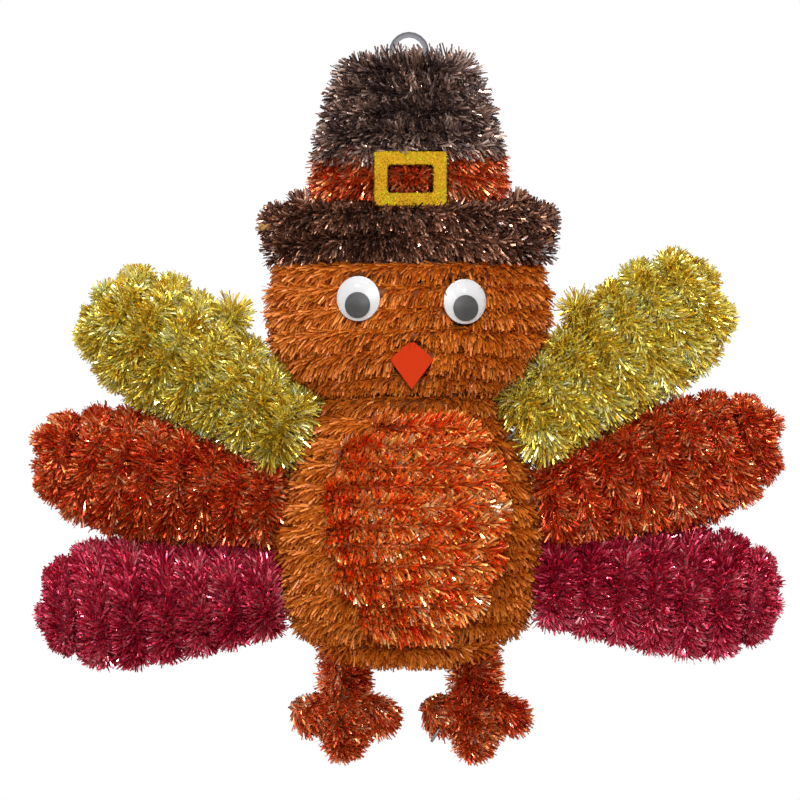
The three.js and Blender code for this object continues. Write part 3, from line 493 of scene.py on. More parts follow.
def tinsel_tree():
    """Plants strips all over a garland's tube, leaning out from the shell's axis, on a core tinted darker as
    painted shade.
    """
    tree, given = geometry_tree("tinsel_garland", {
        "Strips per m2": "Float",
        "Seed": "Int",
        "Length": "Float",
        "Start growth": "Float",
        "End growth": "Float",
        "Corner growth": "Float",
        "Back growth": "Float",
        "Front growth": "Float",
        "Upper growth": "Float",
        "Pinch": "Float",
        "Pinch height": "Float",
        "Width": "Float",
        "Root depth": "Float",
        "Core depth": "Float",
        "Axis start": "Vector",
        "Axis end": "Vector",
        "Fan": "Float",
        "Stray": "Float",
        "Sweep": "Float",
        "Comb": "Vector",
        "Curl": "Float",
        "Scatter": "Float",
        "Back limit": "Float",
        "Patch size": "Float",
        "Film": "Material",
        "Glued": "Object",
    })

    # Where strips are planted, and which way is out from the nearest point of the shell's axis
    planted = add(tree, "GeometryNodeDistributePointsOnFaces", {
        "Mesh": given["Geometry"],
        "Density": given["Strips per m2"],
        "Seed": given["Seed"],
    }).outputs
    place = add(tree, "GeometryNodeInputPosition")
    spot = add(tree, "ShaderNodeSeparateXYZ", {0: place}).outputs
    span = add(tree, VECTOR_MATH, {0: given["Axis end"], 1: given["Axis start"]}, operation="SUBTRACT")
    reach = add(tree, VECTOR_MATH, {0: place, 1: given["Axis start"]}, operation="SUBTRACT")
    along = add(tree, VECTOR_MATH, {0: reach, 1: span}, operation="DOT_PRODUCT").outputs["Value"]
    square = add(tree, VECTOR_MATH, {0: span, 1: span}, operation="DOT_PRODUCT").outputs["Value"]
    share = add(tree, MATH, {0: along, 1: square}, operation="DIVIDE", use_clamp=True)
    walked = add(tree, VECTOR_MATH, {0: span, "Scale": share}, operation="SCALE")
    nearest = add(tree, VECTOR_MATH, {0: given["Axis start"], 1: walked}, operation="ADD")
    outward = add(tree, VECTOR_MATH, {0: place, 1: nearest}, operation="SUBTRACT")
    outward = add(tree, VECTOR_MATH, {0: outward}, operation="NORMALIZE")
    facing = add(tree, VECTOR_MATH, {0: planted["Normal"], 1: outward}, operation="DOT_PRODUCT")
    turned = add(tree, "FunctionNodeCompare", {0: facing.outputs["Value"], 1: TURNED_AWAY},
                 data_type="FLOAT", operation="LESS_THAN")

    # The way each strip points: fanned out across its row, combed, scattered and curled up
    along_axis = add(tree, VECTOR_MATH, {0: span}, operation="NORMALIZE")
    buried = add(tree, VECTOR_MATH, {0: along_axis, 1: outward}, operation="DOT_PRODUCT").outputs["Value"]
    hidden = add(tree, VECTOR_MATH, {0: outward, "Scale": buried}, operation="SCALE")
    across = add(tree, VECTOR_MATH, {0: along_axis, 1: hidden}, operation="SUBTRACT")
    across = add(tree, VECTOR_MATH, {0: across}, operation="NORMALIZE")
    tangent = add(tree, VECTOR_MATH, {0: across, 1: outward}, operation="CROSS_PRODUCT")
    edge = add(tree, VECTOR_MATH, {0: planted["Normal"], 1: across}, operation="DOT_PRODUCT")
    edge = add(tree, MATH, {0: edge.outputs["Value"], 1: EDGE_SHARE}, operation="MULTIPLY")
    spread = add(tree, RANDOM, {2: -1.0, 3: 1.0, "Seed": 9}, data_type="FLOAT").outputs[1]
    angle = add(tree, MATH, {0: spread, 1: given["Stray"], 2: edge}, operation="MULTIPLY_ADD")
    angle = add(tree, MATH, {0: angle, 1: given["Fan"]}, operation="MULTIPLY")
    cosine = add(tree, MATH, {0: angle}, operation="COSINE")
    sine = add(tree, MATH, {0: angle}, operation="SINE")
    random_way = add(tree, RANDOM, {0: (-1, -1, -1), 1: (1, 1, 1), "Seed": 3}, data_type="FLOAT_VECTOR")
    offset = add(tree, MATH, {0: spot["X"], 1: CURL_SPAN}, operation="DIVIDE")
    square = add(tree, MATH, {0: offset, 1: offset}, operation="MULTIPLY")
    lift = add(tree, MATH, {0: square, 1: given["Curl"]}, operation="MULTIPLY")
    way = add(tree, VECTOR_MATH, {0: outward, "Scale": cosine}, operation="SCALE")
    for part in (
        add(tree, VECTOR_MATH, {0: across, "Scale": sine}, operation="SCALE"),
        add(tree, VECTOR_MATH, {0: tangent, "Scale": given["Sweep"]}, operation="SCALE"),
        given["Comb"],
        add(tree, VECTOR_MATH, {0: random_way, "Scale": given["Scatter"]}, operation="SCALE"),
        add(tree, "ShaderNodeCombineXYZ", {"Z": lift}),
    ):
        way = add(tree, VECTOR_MATH, {0: way, 1: part}, operation="ADD")

    # At the back it lies nearly flat against the wall
    way = add(tree, VECTOR_MATH, {0: way}, operation="NORMALIZE")
    parts = add(tree, "ShaderNodeSeparateXYZ", {0: way}).outputs
    square = add(tree, MATH, {0: parts["Y"], 1: parts["Y"]}, operation="MULTIPLY")
    level = add(tree, MATH, {0: 1.0, 1: square}, operation="SUBTRACT")
    level = add(tree, MATH, {0: level}, operation="SQRT")
    limit = add(tree, MATH, {0: level, 1: given["Back limit"]}, operation="MULTIPLY")
    flat = add(tree, MATH, {0: parts["Y"], 1: limit}, operation="MINIMUM")
    way = add(tree, "ShaderNodeCombineXYZ", {"X": parts["X"], "Y": flat, "Z": parts["Z"]})
    way = add(tree, VECTOR_MATH, {0: way}, operation="NORMALIZE")
    depth = add(tree, VECTOR_MATH, {0: way, "Scale": given["Root depth"]}, operation="SCALE")
    root = add(tree, VECTOR_MATH, {0: place, 1: depth}, operation="SUBTRACT")

    # No strip stands under a glued piece, and those that would run into one or hang over it are cut short
    glued = add(tree, "GeometryNodeObjectInfo", {"Object": given["Glued"]}).outputs["Geometry"]
    reach = add(tree, MATH, {0: given["Length"], 1: OVERHANG}, operation="MULTIPLY")
    tip = add(tree, VECTOR_MATH, {0: way, "Scale": reach}, operation="SCALE")
    tip = add(tree, VECTOR_MATH, {0: root, 1: tip}, operation="ADD")
    hits = []
    for start, direction, length in (
        (place, outward, GLUED_REACH),
        (root, way, given["Length"]),
        (tip, (0, 1, 0), GLUED_REACH),
    ):
        ray = {"Source Position": start, "Ray Direction": direction, "Ray Length": length}
        hits.append(add(tree, "GeometryNodeRaycast", {"Target Geometry": glued, **ray}).outputs["Is Hit"])
    under, struck, over = hits
    unwanted = add(tree, "FunctionNodeBooleanMath", {0: under, 1: turned}, operation="OR")
    cut = add(tree, MATH, {0: struck, 1: over}, operation="MAXIMUM")
    cut = add(tree, MATH, {0: cut, 1: CUT_SHARE}, operation="MULTIPLY")

    # How it is turned: along its way, and by any angle about it
    pointed = add(tree, "FunctionNodeAlignRotationToVector", {"Vector": way}, axis="Z")
    rolled = add(tree, RANDOM, {2: 0.0, 3: math.tau, "Seed": 5}, data_type="FLOAT").outputs[1]
    spin = add(tree, "FunctionNodeAxisAngleToRotation", {"Axis": (0, 0, 1), "Angle": rolled})
    turn = add(tree, "FunctionNodeRotateRotation", {0: pointed, 1: spin}, rotation_space="LOCAL")

    # How long it grows: by its place between the axis' ends, by the side it is on and at a pinch
    ahead = add(tree, MATH, {0: buried, 1: 0.0}, operation="MAXIMUM")
    square = add(tree, MATH, {0: ahead, 1: ahead}, operation="MULTIPLY")
    rest = add(tree, MATH, {0: 1.0, 1: square}, operation="SUBTRACT")
    corner = add(tree, MATH, {0: square, 1: rest}, operation="MULTIPLY")
    corner = add(tree, MATH, {0: corner, 1: CORNER_PEAK}, operation="MULTIPLY")
    corner = add(tree, MATH, {0: corner, 1: given["Corner growth"]}, operation="MULTIPLY")
    ending = add(tree, MATH, {0: ahead, 1: given["End growth"], 2: corner}, operation="MULTIPLY_ADD")
    starting = add(tree, MATH, {0: buried, 1: 0.0}, operation="MINIMUM")
    starting = add(tree, MATH, {0: starting, 1: given["Start growth"]}, operation="MULTIPLY")
    ends = add(tree, MATH, {0: ending, 1: starting}, operation="SUBTRACT")
    rising = add(tree, "ShaderNodeSeparateXYZ", {0: outward}).outputs["Z"]
    growth = add(tree, MATH, {0: rising, 1: given["Upper growth"], 2: ends}, operation="MULTIPLY_ADD")
    growth = add(tree, MATH, {0: 1.0, 1: growth}, operation="ADD")
    backward = add(tree, "ShaderNodeSeparateXYZ", {0: planted["Normal"]}).outputs["Y"]
    before = add(tree, MATH, {0: backward, 1: 0.0}, operation="MINIMUM")
    before = add(tree, MATH, {0: before, 1: given["Front growth"]}, operation="MULTIPLY")
    behind = add(tree, MATH, {0: backward, 1: 0.0}, operation="MAXIMUM")
    behind = add(tree, MATH, {0: behind, 1: given["Back growth"]}, operation="MULTIPLY")
    turned_growth = add(tree, MATH, {0: behind, 1: before}, operation="SUBTRACT")
    growth = add(tree, MATH, {0: growth, 1: turned_growth, 2: growth}, operation="MULTIPLY_ADD")
    away = add(tree, MATH, {0: spot["Z"], 1: given["Pinch height"]}, operation="SUBTRACT")
    away = add(tree, MATH, {0: away}, operation="ABSOLUTE")
    pinch = add(tree, "ShaderNodeMapRange", {0: away, 2: PINCH_SPAN, 3: given["Pinch"], 4: 0.0},
                interpolation_type="SMOOTHSTEP")
    loss = add(tree, MATH, {0: cut, 1: pinch}, operation="MAXIMUM")
    loss = add(tree, MATH, {0: growth, 1: loss}, operation="MULTIPLY")
    growth = add(tree, MATH, {0: growth, 1: loss}, operation="SUBTRACT")

    # Its tint, growth and turn are kept on its point before the point sinks to its root
    own = add(tree, RANDOM, {2: 0.0, 3: 1.0, "Seed": 7}, data_type="FLOAT").outputs[1]
    scale = add(tree, MATH, {0: 1.0, 1: given["Patch size"]}, operation="DIVIDE")
    tint = patchy(tree, place, scale, PATCH_LOW, PATCH_HIGH, own, PATCH_SHARE)
    points = planted["Points"]
    for name, value, kind in (
        ("tint", tint, "FLOAT"),
        ("growth", growth, "FLOAT"),
        ("turn", turn, "QUATERNION"),
    ):
        kept = {"Geometry": points, "Name": name, "Value": value}
        points = add(tree, STORE, kept, data_type=kind, domain="POINT")
    points = add(tree, "GeometryNodeDeleteGeometry", {"Geometry": points, "Selection": unwanted})
    points = add(tree, "GeometryNodeSetPosition", {"Geometry": points, "Position": root})

    # One strip: a narrow sheet along Z, narrower and bent over towards its tip
    strip = add(tree, "GeometryNodeMeshGrid", {
        "Size X": given["Width"],
        "Size Y": given["Length"],
        "Vertices X": STRIP_POINTS_ACROSS,
        "Vertices Y": STRIP_POINTS_ALONG,
    })
    climb = add(tree, MATH, {0: spot["Y"], 1: given["Length"]}, operation="DIVIDE")
    climb = add(tree, MATH, {0: climb, 1: 0.5}, operation="ADD")
    narrow = add(tree, "ShaderNodeMapRange", {0: climb, 3: 1.0, 4: 1 - STRIP_TAPER})
    narrow = add(tree, MATH, {0: spot["X"], 1: narrow}, operation="MULTIPLY")
    bent = add(tree, MATH, {0: climb, 1: 2.0}, operation="POWER")
    bent = add(tree, MATH, {0: bent, 1: STRIP_BEND}, operation="MULTIPLY")
    high = add(tree, MATH, {0: climb, 1: given["Length"]}, operation="MULTIPLY")
    stood = add(tree, "ShaderNodeCombineXYZ", {"X": narrow, "Y": bent, "Z": high})
    graded = {"Geometry": strip, "Name": "along", "Value": climb}
    strip = add(tree, STORE, graded, data_type="FLOAT", domain="POINT")
    strip = add(tree, "GeometryNodeSetPosition", {"Geometry": strip, "Position": stood})
    strip = add(tree, "GeometryNodeSetShadeSmooth", {"Geometry": strip})
    size = add(tree, RANDOM, {0: SMALLEST_STRIP, 1: LARGEST_STRIP, "Seed": 11}, data_type="FLOAT_VECTOR")
    stretch = add(tree, STORED, {"Name": "growth"}, data_type="FLOAT")
    stretch = add(tree, "ShaderNodeCombineXYZ", {"X": 1.0, "Y": 1.0, "Z": stretch})
    strips = add(tree, "GeometryNodeInstanceOnPoints", {
        "Points": points,
        "Instance": strip,
        "Rotation": add(tree, STORED, {"Name": "turn"}, data_type="QUATERNION"),
        "Scale": add(tree, VECTOR_MATH, {0: size, 1: stretch}, operation="MULTIPLY"),
    })
    strips = add(tree, "GeometryNodeRealizeInstances", {"Geometry": strips})

    # The core that the strips grow from, sunk below the tube's skin
    skin = add(tree, "GeometryNodeInputNormal")
    inward = add(tree, MATH, {0: given["Core depth"], 1: -1.0}, operation="MULTIPLY")
    inward = add(tree, VECTOR_MATH, {0: skin, "Scale": inward}, operation="SCALE")
    core = add(tree, "GeometryNodeSetPosition", {"Geometry": given["Geometry"], "Offset": inward})
    # The core takes a darker tint, which with the film's painted core shade stands for the shade deep in the
    # pile
    dark = {"Geometry": core, "Name": "tint", "Value": SHADE_TINT_OF_CORE}
    core = add(tree, STORE, dark, data_type="FLOAT", domain="POINT")
    root_to_tip = add(tree, STORED, {"Name": "along"}, data_type="FLOAT")
    finish_tree(tree, core, strips, root_to_tip, ("tint", "growth", "turn", "along"), given["Film"])
    return tree


garland_tree = tinsel_tree()


def plain_mesh(piece, tree, inputs):
    """Runs a tree on a piece once, and leaves its result as the piece's plain mesh."""
    modifier = piece.modifiers.new("grow", "NODES")
    modifier.node_group = tree
    for item in tree.interface.items_tree:
        if item.in_out == "INPUT" and item.name in inputs:
            modifier[item.identifier] = inputs[item.name]
    result = piece.evaluated_get(bpy.context.evaluated_depsgraph_get())
    mesh = bpy.data.meshes.new_from_object(result)
    piece.modifiers.clear()
    old = piece.data
    piece.data = mesh
    bpy.data.meshes.remove(old)


GLUED_NODES = ("hat_buckle", "beak", "left_eye_back", "left_eye_dome", "right_eye_back", "right_eye_dome")
GLUED_ENDS = ("brim_garland_end", "left_brim_sheet_edge", "right_brim_sheet_edge")
shape = bmesh.new()
for name in GLUED_NODES:
    shape.from_mesh(nodes[name].data)
for name in GLUED_ENDS:
    shape.from_mesh(bpy.data.meshes[name])
glued_pieces = mesh_object("glued_pieces", shape)

# What a pile is like where nothing else is said
PILE = {
    "Length": STRIP_LENGTH,
    "Start growth": 0.4,
    "End growth": 0.4,
    "Corner growth": 0.0,
    "Back growth": 0.0,
    "Front growth": 0.0,
    "Upper growth": 0.0,
    "Pinch": 0.0,
    "Pinch height": 0.0,
    "Width": STRIP_WIDTH,
    "Root depth": ROOT_DEPTH,
    "Core depth": CORE_DEPTH,
    "Axis start": (0.0, 0.0, -238 * MM),
    "Axis end": (0.0, 0.0, -32 * MM),
    "Fan": 1.35,
    "Stray": 0.55,
    "Sweep": 0.25,
    "Comb": (0.0, 0.0, 0.0),
    "Curl": 0.0,
    "Scatter": 0.15,
    "Back limit": 0.1,
    "Patch size": 12 * MM,
    "Glued": glued_pieces,
}
TUBE_MERGE = 0.02 * MM
TUFT_AXIS = 4 * MM
ROLL_FINENESS = 3
BOW_START = math.radians(-188)
BOW_END = math.radians(8)
BOW_STEPS = 40
BOW_SIDES = 10


def grow_pile(name, core, material, density, seed, changes):
    """Strips planted all over a core, which is a bmesh and is used up."""
    for face in core.faces:
        face.smooth = True
    piece = mesh_object(name, core)
    plain_mesh(piece, garland_tree, {
        **PILE,
        "Strips per m2": density,
        "Seed": seed,
        "Film": material,
        **changes,
    })
    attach(piece, "figure")
    return piece


def grow_garland(node, material, density, seed, changes):
    """A garland in place of a packed winding, planted on a merged copy of its tube."""
    core = bmesh.new()
    core.from_mesh(nodes[node].data)
    bmesh.ops.remove_doubles(core, verts=core.verts, dist=TUBE_MERGE)
    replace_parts(grow_pile(f"{node}_pile", core, material, density, seed, changes), node)


def roll_core(centre, radii):
    """The core of a short piece of garland, rolled up or laid along a gap."""
    core = bmesh.new()
    placed = Matrix.LocRotScale(centre, None, radii)
    bmesh.ops.create_icosphere(core, subdivisions=ROLL_FINENESS, radius=1.0, matrix=placed)
    return core


def bow_core(centre, radii, thickness):
    """The core of a run laid round the figure's front from side to side; radii.z is its tilt."""
    core = bmesh.new()
    rings = []
    for i in range(BOW_STEPS + 1):
        angle = BOW_START + (BOW_END - BOW_START) * i / BOW_STEPS
        outward = Vector((math.cos(angle), math.sin(angle), 0.0))
        middle = centre + Vector((radii.x * outward.x, radii.y * outward.y, radii.z * outward.x))
        spokes = [outward * math.cos(a) + UP * math.sin(a) for a in circle(BOW_SIDES)]
        rings.append([core.verts.new(middle + spoke * thickness) for spoke in spokes])
    bridge(core, rings)
    return core


def grow_tuft(name, centre, radii, line, material, density, seed, changes):
    """A garland's end rolled into a ball, whose strips fan out from the line that it ends."""
    axis = {"Axis start": centre - line * TUFT_AXIS, "Axis end": centre}
    grow_pile(name, roll_core(centre, radii), material, density, seed, {**axis, **changes})


# Each film's finish: how metallic it is, its dullest and shiniest strips, and its clear coat
DARK_FOIL = (0.65, 0.36, 0.2, 0.5)
FOIL = (0.7, 0.38, 0.2, 0.55)
MATT_FILM = (0.2, 0.55, 0.42, 0.05)
brown_film = film("brown_metallised_film", ("2E232A", "5C4543", "A78372", "F9DFD2"), *DARK_FOIL)
# The brim's film is the crown's brown made warmer: a painted reflection of the orange band and head beside
# it, and painted warm glints
brown_film_painted_warm = film("brown_metallised_film_painted_warm", ("311D1A", "653C30", "AD765A", "F5C5A8"), *DARK_FOIL)
copper_film = film("copper_metallised_film", ("D22306", "FA570C", "FA912E", "FAC56E", "FAEEE2"), *FOIL)
# The band's and feet's film is the belly's copper film made darker: painted shade, for garlands that get
# less light
copper_film_painted_shade = film("copper_metallised_film_painted_shade", ("9A1405", "CD3D12", "E96828", "E99957", "E9CBB5"), *FOIL)
caramel_film = film("caramel_matt_film", ("C05B09", "D97112", "E78522", "F39C3B"), *MATT_FILM)

# Strips to the square metre of tube, and how each garland's pile lies
STRIPS = 0.6e6
FINE_STRIPS = 0.9e6
HAT_PILE = {"Back growth": 0.45, "Front growth": -0.2, "Width": 0.95 * MM}
CROWN_PILE = {**HAT_PILE, "Comb": (-0.4, 0.0, -0.45), "End growth": 0.35}
BAND_PILE = {
    **HAT_PILE,
    "Comb": (0.0, 0.0, -0.9),
    "Sweep": 0.0,
    "Fan": 0.8,
    "Length": 11 * MM,
    "Scatter": 0.3,
    "Pinch": 0.15,
    "Pinch height": -44 * MM,
}
BRIM_PILE = {
    **HAT_PILE,
    "Comb": (0.0, 0.0, -0.75),
    "Curl": 0.8,
    "Fan": 1.15,
    "Length": 8.7 * MM,
    "Pinch": 0.1,
    "Pinch height": -70 * MM,
}
LAID = {
    "Comb": (0.0, 0.0, -1.05),
    "Fan": 1.8,
    "Stray": 0.25,
    "Sweep": -0.5,
    "Scatter": 0.12,
    "Length": 10 * MM,
    "Width": 0.9 * MM,
    "Start growth": 0.3,
    "Front growth": -0.18,
    "Pinch": 0.42,
    "Pinch height": -157 * MM,
}
HERRINGBONE = {
    "Comb": (0.0, 0.0, -0.2),
    "Fan": 1.8,
    "Stray": 0.25,
    "Sweep": 0.5,
    "Scatter": 0.1,
    "Front growth": -0.2,
    "Width": 0.95 * MM,
}
for node, slot, material, density, seed, changes in (
    ("hat_crown_tinsel", "brown_tinsel", brown_film, STRIPS * 1.9, 21, CROWN_PILE),
    ("hat_band_tinsel", "copper_tinsel", copper_film_painted_shade, STRIPS * 1.8, 22, BAND_PILE),
    ("hat_brim_tinsel", "brown_tinsel", brown_film_painted_warm, STRIPS * 2, 23, BRIM_PILE),
    ("head_tinsel", "caramel_tinsel", caramel_film, FINE_STRIPS, 24, LAID),
    ("body_tinsel", "caramel_tinsel", caramel_film, FINE_STRIPS, 25, LAID),
    ("belly_tinsel", "copper_tinsel", copper_film, STRIPS * 1.7, 26, HERRINGBONE),
):
    grow_garland(node, material, density, seed, changes)

# Where one garland ends and the next begins, a short run is laid along the gap; places and radii in mm
RUN_WIDTH = 0.95 * MM
RUN_PILE = {"Width": RUN_WIDTH, "Length": 8 * MM}
for name, centre, radii, slot, material, seed in (
    ("hat_crown_back_run", (-4, 5, -43), (24, 3, 3.5), "brown_tinsel", brown_film, 81),
    ("hat_brim_back_run", (4, 5, -68), (36, 3, 3.5), "brown_tinsel", brown_film_painted_warm, 82),
    ("hat_under_brim_run", (-8, 5, -95), (46, 3, 3.5), "brown_tinsel", brown_film_painted_warm, 83),
    ("neck_back_run", (-9, 5, -158), (28, 3, 3), "caramel_tinsel", caramel_film, 84),
    ("left_brim_shoulder_run", (-47, -16, -70.5), (5, 12, 3), "brown_tinsel", brown_film_painted_warm, 85),
    ("right_brim_shoulder_run", (47, -16, -70), (5, 12, 3), "brown_tinsel", brown_film_painted_warm, 86),
    ("hat_top_run", (0, -9, -10), (12, 5, 2), "brown_tinsel", brown_film, 89),
    ("body_base_run", (0, -16, -269), (36, 12, 3.5), "caramel_tinsel", caramel_film, 87),
):
    core = roll_core(Vector(centre) * MM, Vector(radii) * MM)
    grow_pile(name, core, material, FINE_STRIPS, seed, RUN_PILE)

# Two runs go round the hat's front: one over the band's upper edge, one on the brim's shelf
FOOT_RUN_PILE = {"Width": RUN_WIDTH, "Length": 7.5 * MM, "Comb": (0.0, 0.0, -1.0)}
core = bow_core(Vector((0, 0, -46.5)) * MM, Vector((39.5, 34, 1.5)) * MM, 2 * MM)
grow_pile("hat_crown_foot_run", core, brown_film, FINE_STRIPS, 90, FOOT_RUN_PILE)
SHELF_RUN_PILE = {"Width": RUN_WIDTH, "Length": 5 * MM, "Comb": (0.0, 0.0, -0.9)}
core = bow_core(Vector((0, 0, -72.5)) * MM, Vector((47, 35, 0)) * MM, 2.5 * MM)
grow_pile("hat_shelf_run", core, brown_film_painted_warm, FINE_STRIPS, 91, SHELF_RUN_PILE)

# The band's strips that stand up in the buckle's window
WINDOW_CENTRE = Vector((0.6, -30.5, -59.5)) * MM
WINDOW_RADII = Vector((9, 3, 5.5)) * MM
WINDOW_PILE = {"Length": 6.5 * MM, "Width": 0.8 * MM, "Scatter": 0.5}
grow_tuft("buckle_window_tuft", WINDOW_CENTRE, WINDOW_RADII, Vector((0, -1, 0)), copper_film_painted_shade,
          STRIPS * 2.5, 88, WINDOW_PILE)

# The feathers: three pairs of lobes, each wound with one garland across its length.
# Gold, orange and crimson film; the gold one is a holographic film, and its green and blue glints are
# painted into some strips' colour.
# Each garland's end is rolled into a tuft at the lobe's tip, and the gold ones' also at the root.
# The last, green-white shade is a painted glint: the holographic film's green and blue flashes drawn into
# some strips' own colour
GOLD_SHADES_AND_PAINTED_GLINTS = ("B77C11", "E3B620", "F7D943", "E9E773", "F9EDB1", "CCE7D4")
ORANGE_SHADES = ("991502", "D3380A", "E85A1A", "E88D44", "E8C19B")
CRIMSON_SHADES = ("97112E", "D2244D", "E6496C", "E6A7A5")
GOLD_FOIL = (0.7, 0.38, 0.24, 0.5)
FEATHER_FILMS = {
    "gold": film("gold_holographic_film", GOLD_SHADES_AND_PAINTED_GLINTS, *GOLD_FOIL),
    "orange": film("orange_metallised_film", ORANGE_SHADES, *FOIL),
    "crimson": film("crimson_metallised_film", CRIMSON_SHADES, *FOIL),
}
FEATHER_STRIPS = STRIPS * 2.2
TUFT_STRIPS = STRIPS * 2
FEATHER_LENGTH = 8.6 * MM
FEATHER_WIDTH = 0.82 * MM
FEATHER_PILE = {
    "Length": FEATHER_LENGTH,
    "Width": FEATHER_WIDTH,
    "Fan": 1.6,
    "Stray": 0.4,
    "Sweep": 0.3,
    "Scatter": 0.14,
    "Start growth": 0.45,
    "Front growth": -0.3,
}
FEATHER_TIPS = {
    "gold": {"Start growth": 1.0, "End growth": 0.0, "Corner growth": 0.0, "Upper growth": -0.25},
    "orange": {"End growth": 0.25, "Corner growth": -0.4, "Upper growth": -0.2},
    "crimson": {"End growth": 0.15, "Corner growth": -0.5, "Upper growth": 0.05},
}
FEATHER_LEAN = 0.5
FEATHER_DROOP = {"gold": -0.35, "orange": -0.4, "crimson": 0.35}
FEATHER_ROOT_END = 12 * MM
FEATHER_TIP_END = 24 * MM
TIP_RADII = Vector((5.5, 8, 5.5)) * MM
TIP_FORWARD = 3 * MM
TIP_INSET = {"gold": 5 * MM, "orange": 3.5 * MM, "crimson": 7 * MM}
TIP_PILE = {"Length": 5.5 * MM, "Width": FEATHER_WIDTH, "Scatter": 0.3}
ROOT_RADII = Vector((4.5, 4.5, 4.5)) * MM
ROOT_PLACE = {"left": (-79.5 * MM, 0, -121 * MM), "right": (76.5 * MM, 0, -118.5 * MM)}
ROOT_PILE = {"Length": FEATHER_LENGTH, "Width": FEATHER_WIDTH, "Scatter": 0.3}
FEATHER_SEED = 31
TIP_SEED = 51
ROOT_SEED = 57


def long_axis(node, start, end, shorten_start, shorten_end):
    """The stretch of a winding's own axis that its strips fan out from."""
    line = (end - start).normalized()
    reaches = [(point.co - start).dot(line) for point in nodes[node].data.vertices]
    return {
        "Axis start": start + line * (min(reaches) + shorten_start),
        "Axis end": start + line * (max(reaches) - shorten_end),
    }


def middle_of(node):
    """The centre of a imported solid's box."""
    low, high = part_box(node)
    return (Vector(low) + Vector(high)) / 2


for side_number, side in enumerate(SIDES):
    for colour_number, colour in enumerate(FEATHERS):
        name = f"{side}_{colour}_feather"
        slot = f"{colour}_tinsel"
        material = FEATHER_FILMS[colour]
        count = colour_number * 2 + side_number
        axis = long_axis(f"{name}_tinsel", middle_of(f"{name}_stem"), middle_of(f"{name}_form"),
                         FEATHER_ROOT_END, FEATHER_TIP_END)
        line = (axis["Axis end"] - axis["Axis start"]).normalized()
        lean = line * FEATHER_LEAN + UP * FEATHER_DROOP[colour]
        changes = {**axis, **FEATHER_PILE, **FEATHER_TIPS[colour], "Comb": lean}
        grow_garland(f"{name}_tinsel", material, FEATHER_STRIPS, FEATHER_SEED + count, changes)
        tip = axis["Axis end"] + line * (FEATHER_TIP_END - TIP_INSET[colour])
        tip.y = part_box(f"{name}_form")[1][1] - TIP_FORWARD
        grow_tuft(f"{name}_tip_tuft", tip, TIP_RADII, line, material, TUFT_STRIPS, TIP_SEED + count,
                  TIP_PILE)
    root = Vector(ROOT_PLACE[side])
    root.y = middle_of(f"{side}_gold_feather_form").y
    grow_tuft(f"{side}_gold_feather_root_tuft", root, ROOT_RADII, UP, FEATHER_FILMS["gold"],
              TUFT_STRIPS, ROOT_SEED + side_number, ROOT_PILE)

# The feet: sleeves of the copper garland pushed over the wires of each leg and its three toes.
# A tuft of the same garland is wound round the ankle, where the four wires part.
TOES = ("left_toe", "middle_toe", "right_toe")
FOOT_STRIPS = STRIPS * 2.5
FOOT_SEED = 41
ANKLE_SEED = 71
SLEEVE_END = 4 * MM
ANKLE_DROP = 7 * MM
ANKLE_RADII = Vector((11, 7, 11)) * MM
LEG_LEAN = (0.6, 0.0, 0.0)
TOE_LENGTH = 8.8 * MM
FOOT_PILE = {"Width": 0.85 * MM, "Front growth": -0.3}
SLEEVE_PILE = {**FOOT_PILE, "Fan": 0.9, "Stray": 0.7, "Start growth": 0.0, "End growth": 0.0}
LEG_PILE = {**SLEEVE_PILE, "Length": 10 * MM, "Comb": LEG_LEAN, "Upper growth": 0.2}
MIDDLE_TOE_PILE = {**SLEEVE_PILE, "Length": TOE_LENGTH, "Comb": LEG_LEAN, "Upper growth": 0.2}
SIDE_TOE_PILE = {**SLEEVE_PILE, "Length": TOE_LENGTH, "Comb": (1.0, 0.0, -0.9), "Upper growth": -0.3}
ANKLE_PILE = {**FOOT_PILE, "Length": TOE_LENGTH, "Comb": LEG_LEAN, "Scatter": 0.3}
for side_number, side in enumerate(SIDES):
    leg = f"{side}_leg_tinsel"
    ankle = middle_of(leg)
    sleeves = [(leg, ankle + UP, LEG_PILE)]
    for toe in TOES:
        pile = MIDDLE_TOE_PILE if toe == "middle_toe" else SIDE_TOE_PILE
        sleeves.append((f"{side}_foot_{toe}_tinsel", ankle, pile))
    for i, (sleeve, start, pile) in enumerate(sleeves):
        axis = long_axis(sleeve, start, middle_of(sleeve), SLEEVE_END, SLEEVE_END)
        seed = FOOT_SEED + i + side_number * len(sleeves)
        grow_garland(sleeve, copper_film_painted_shade, FOOT_STRIPS, seed, {**axis, **pile})
    hub = ankle.copy()
    hub.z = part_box(leg)[0][2] - ANKLE_DROP
    grow_tuft(f"{side}_ankle_tuft", hub, ANKLE_RADII, -UP, copper_film_painted_shade, FOOT_STRIPS,
              ANKLE_SEED + side_number, ANKLE_PILE)
bpy.data.objects.remove(glued_pieces)

# The eyes: a white moulded disc, a clear blown dome on it and a loose black pupil inside.
# Polystyrene and clear PVC, glued to the head's garland; each pupil lies loose and rolls round.
EYE_RADIUS = 10 * MM
EYE_FLANGE = 0.6 * MM
EYE_WALL = 0.5 * MM
EYE_SKIRT = 2.0 * MM
PUPIL_RADIUS = 5.8 * MM
ROUNDED = 0.2 * MM
CAP_STEPS = 12
POLYSTYRENE_IOR = 1.59


def disc_profile(radius, low, high):
    """A flat disc with its rim's edges rounded off."""
    inner = radius - ROUNDED
    rim = [(radius, low + ROUNDED), (radius, high - ROUNDED)]
    return [(0, low), (inner, low)] + rim + [(inner, high), (0, high)]


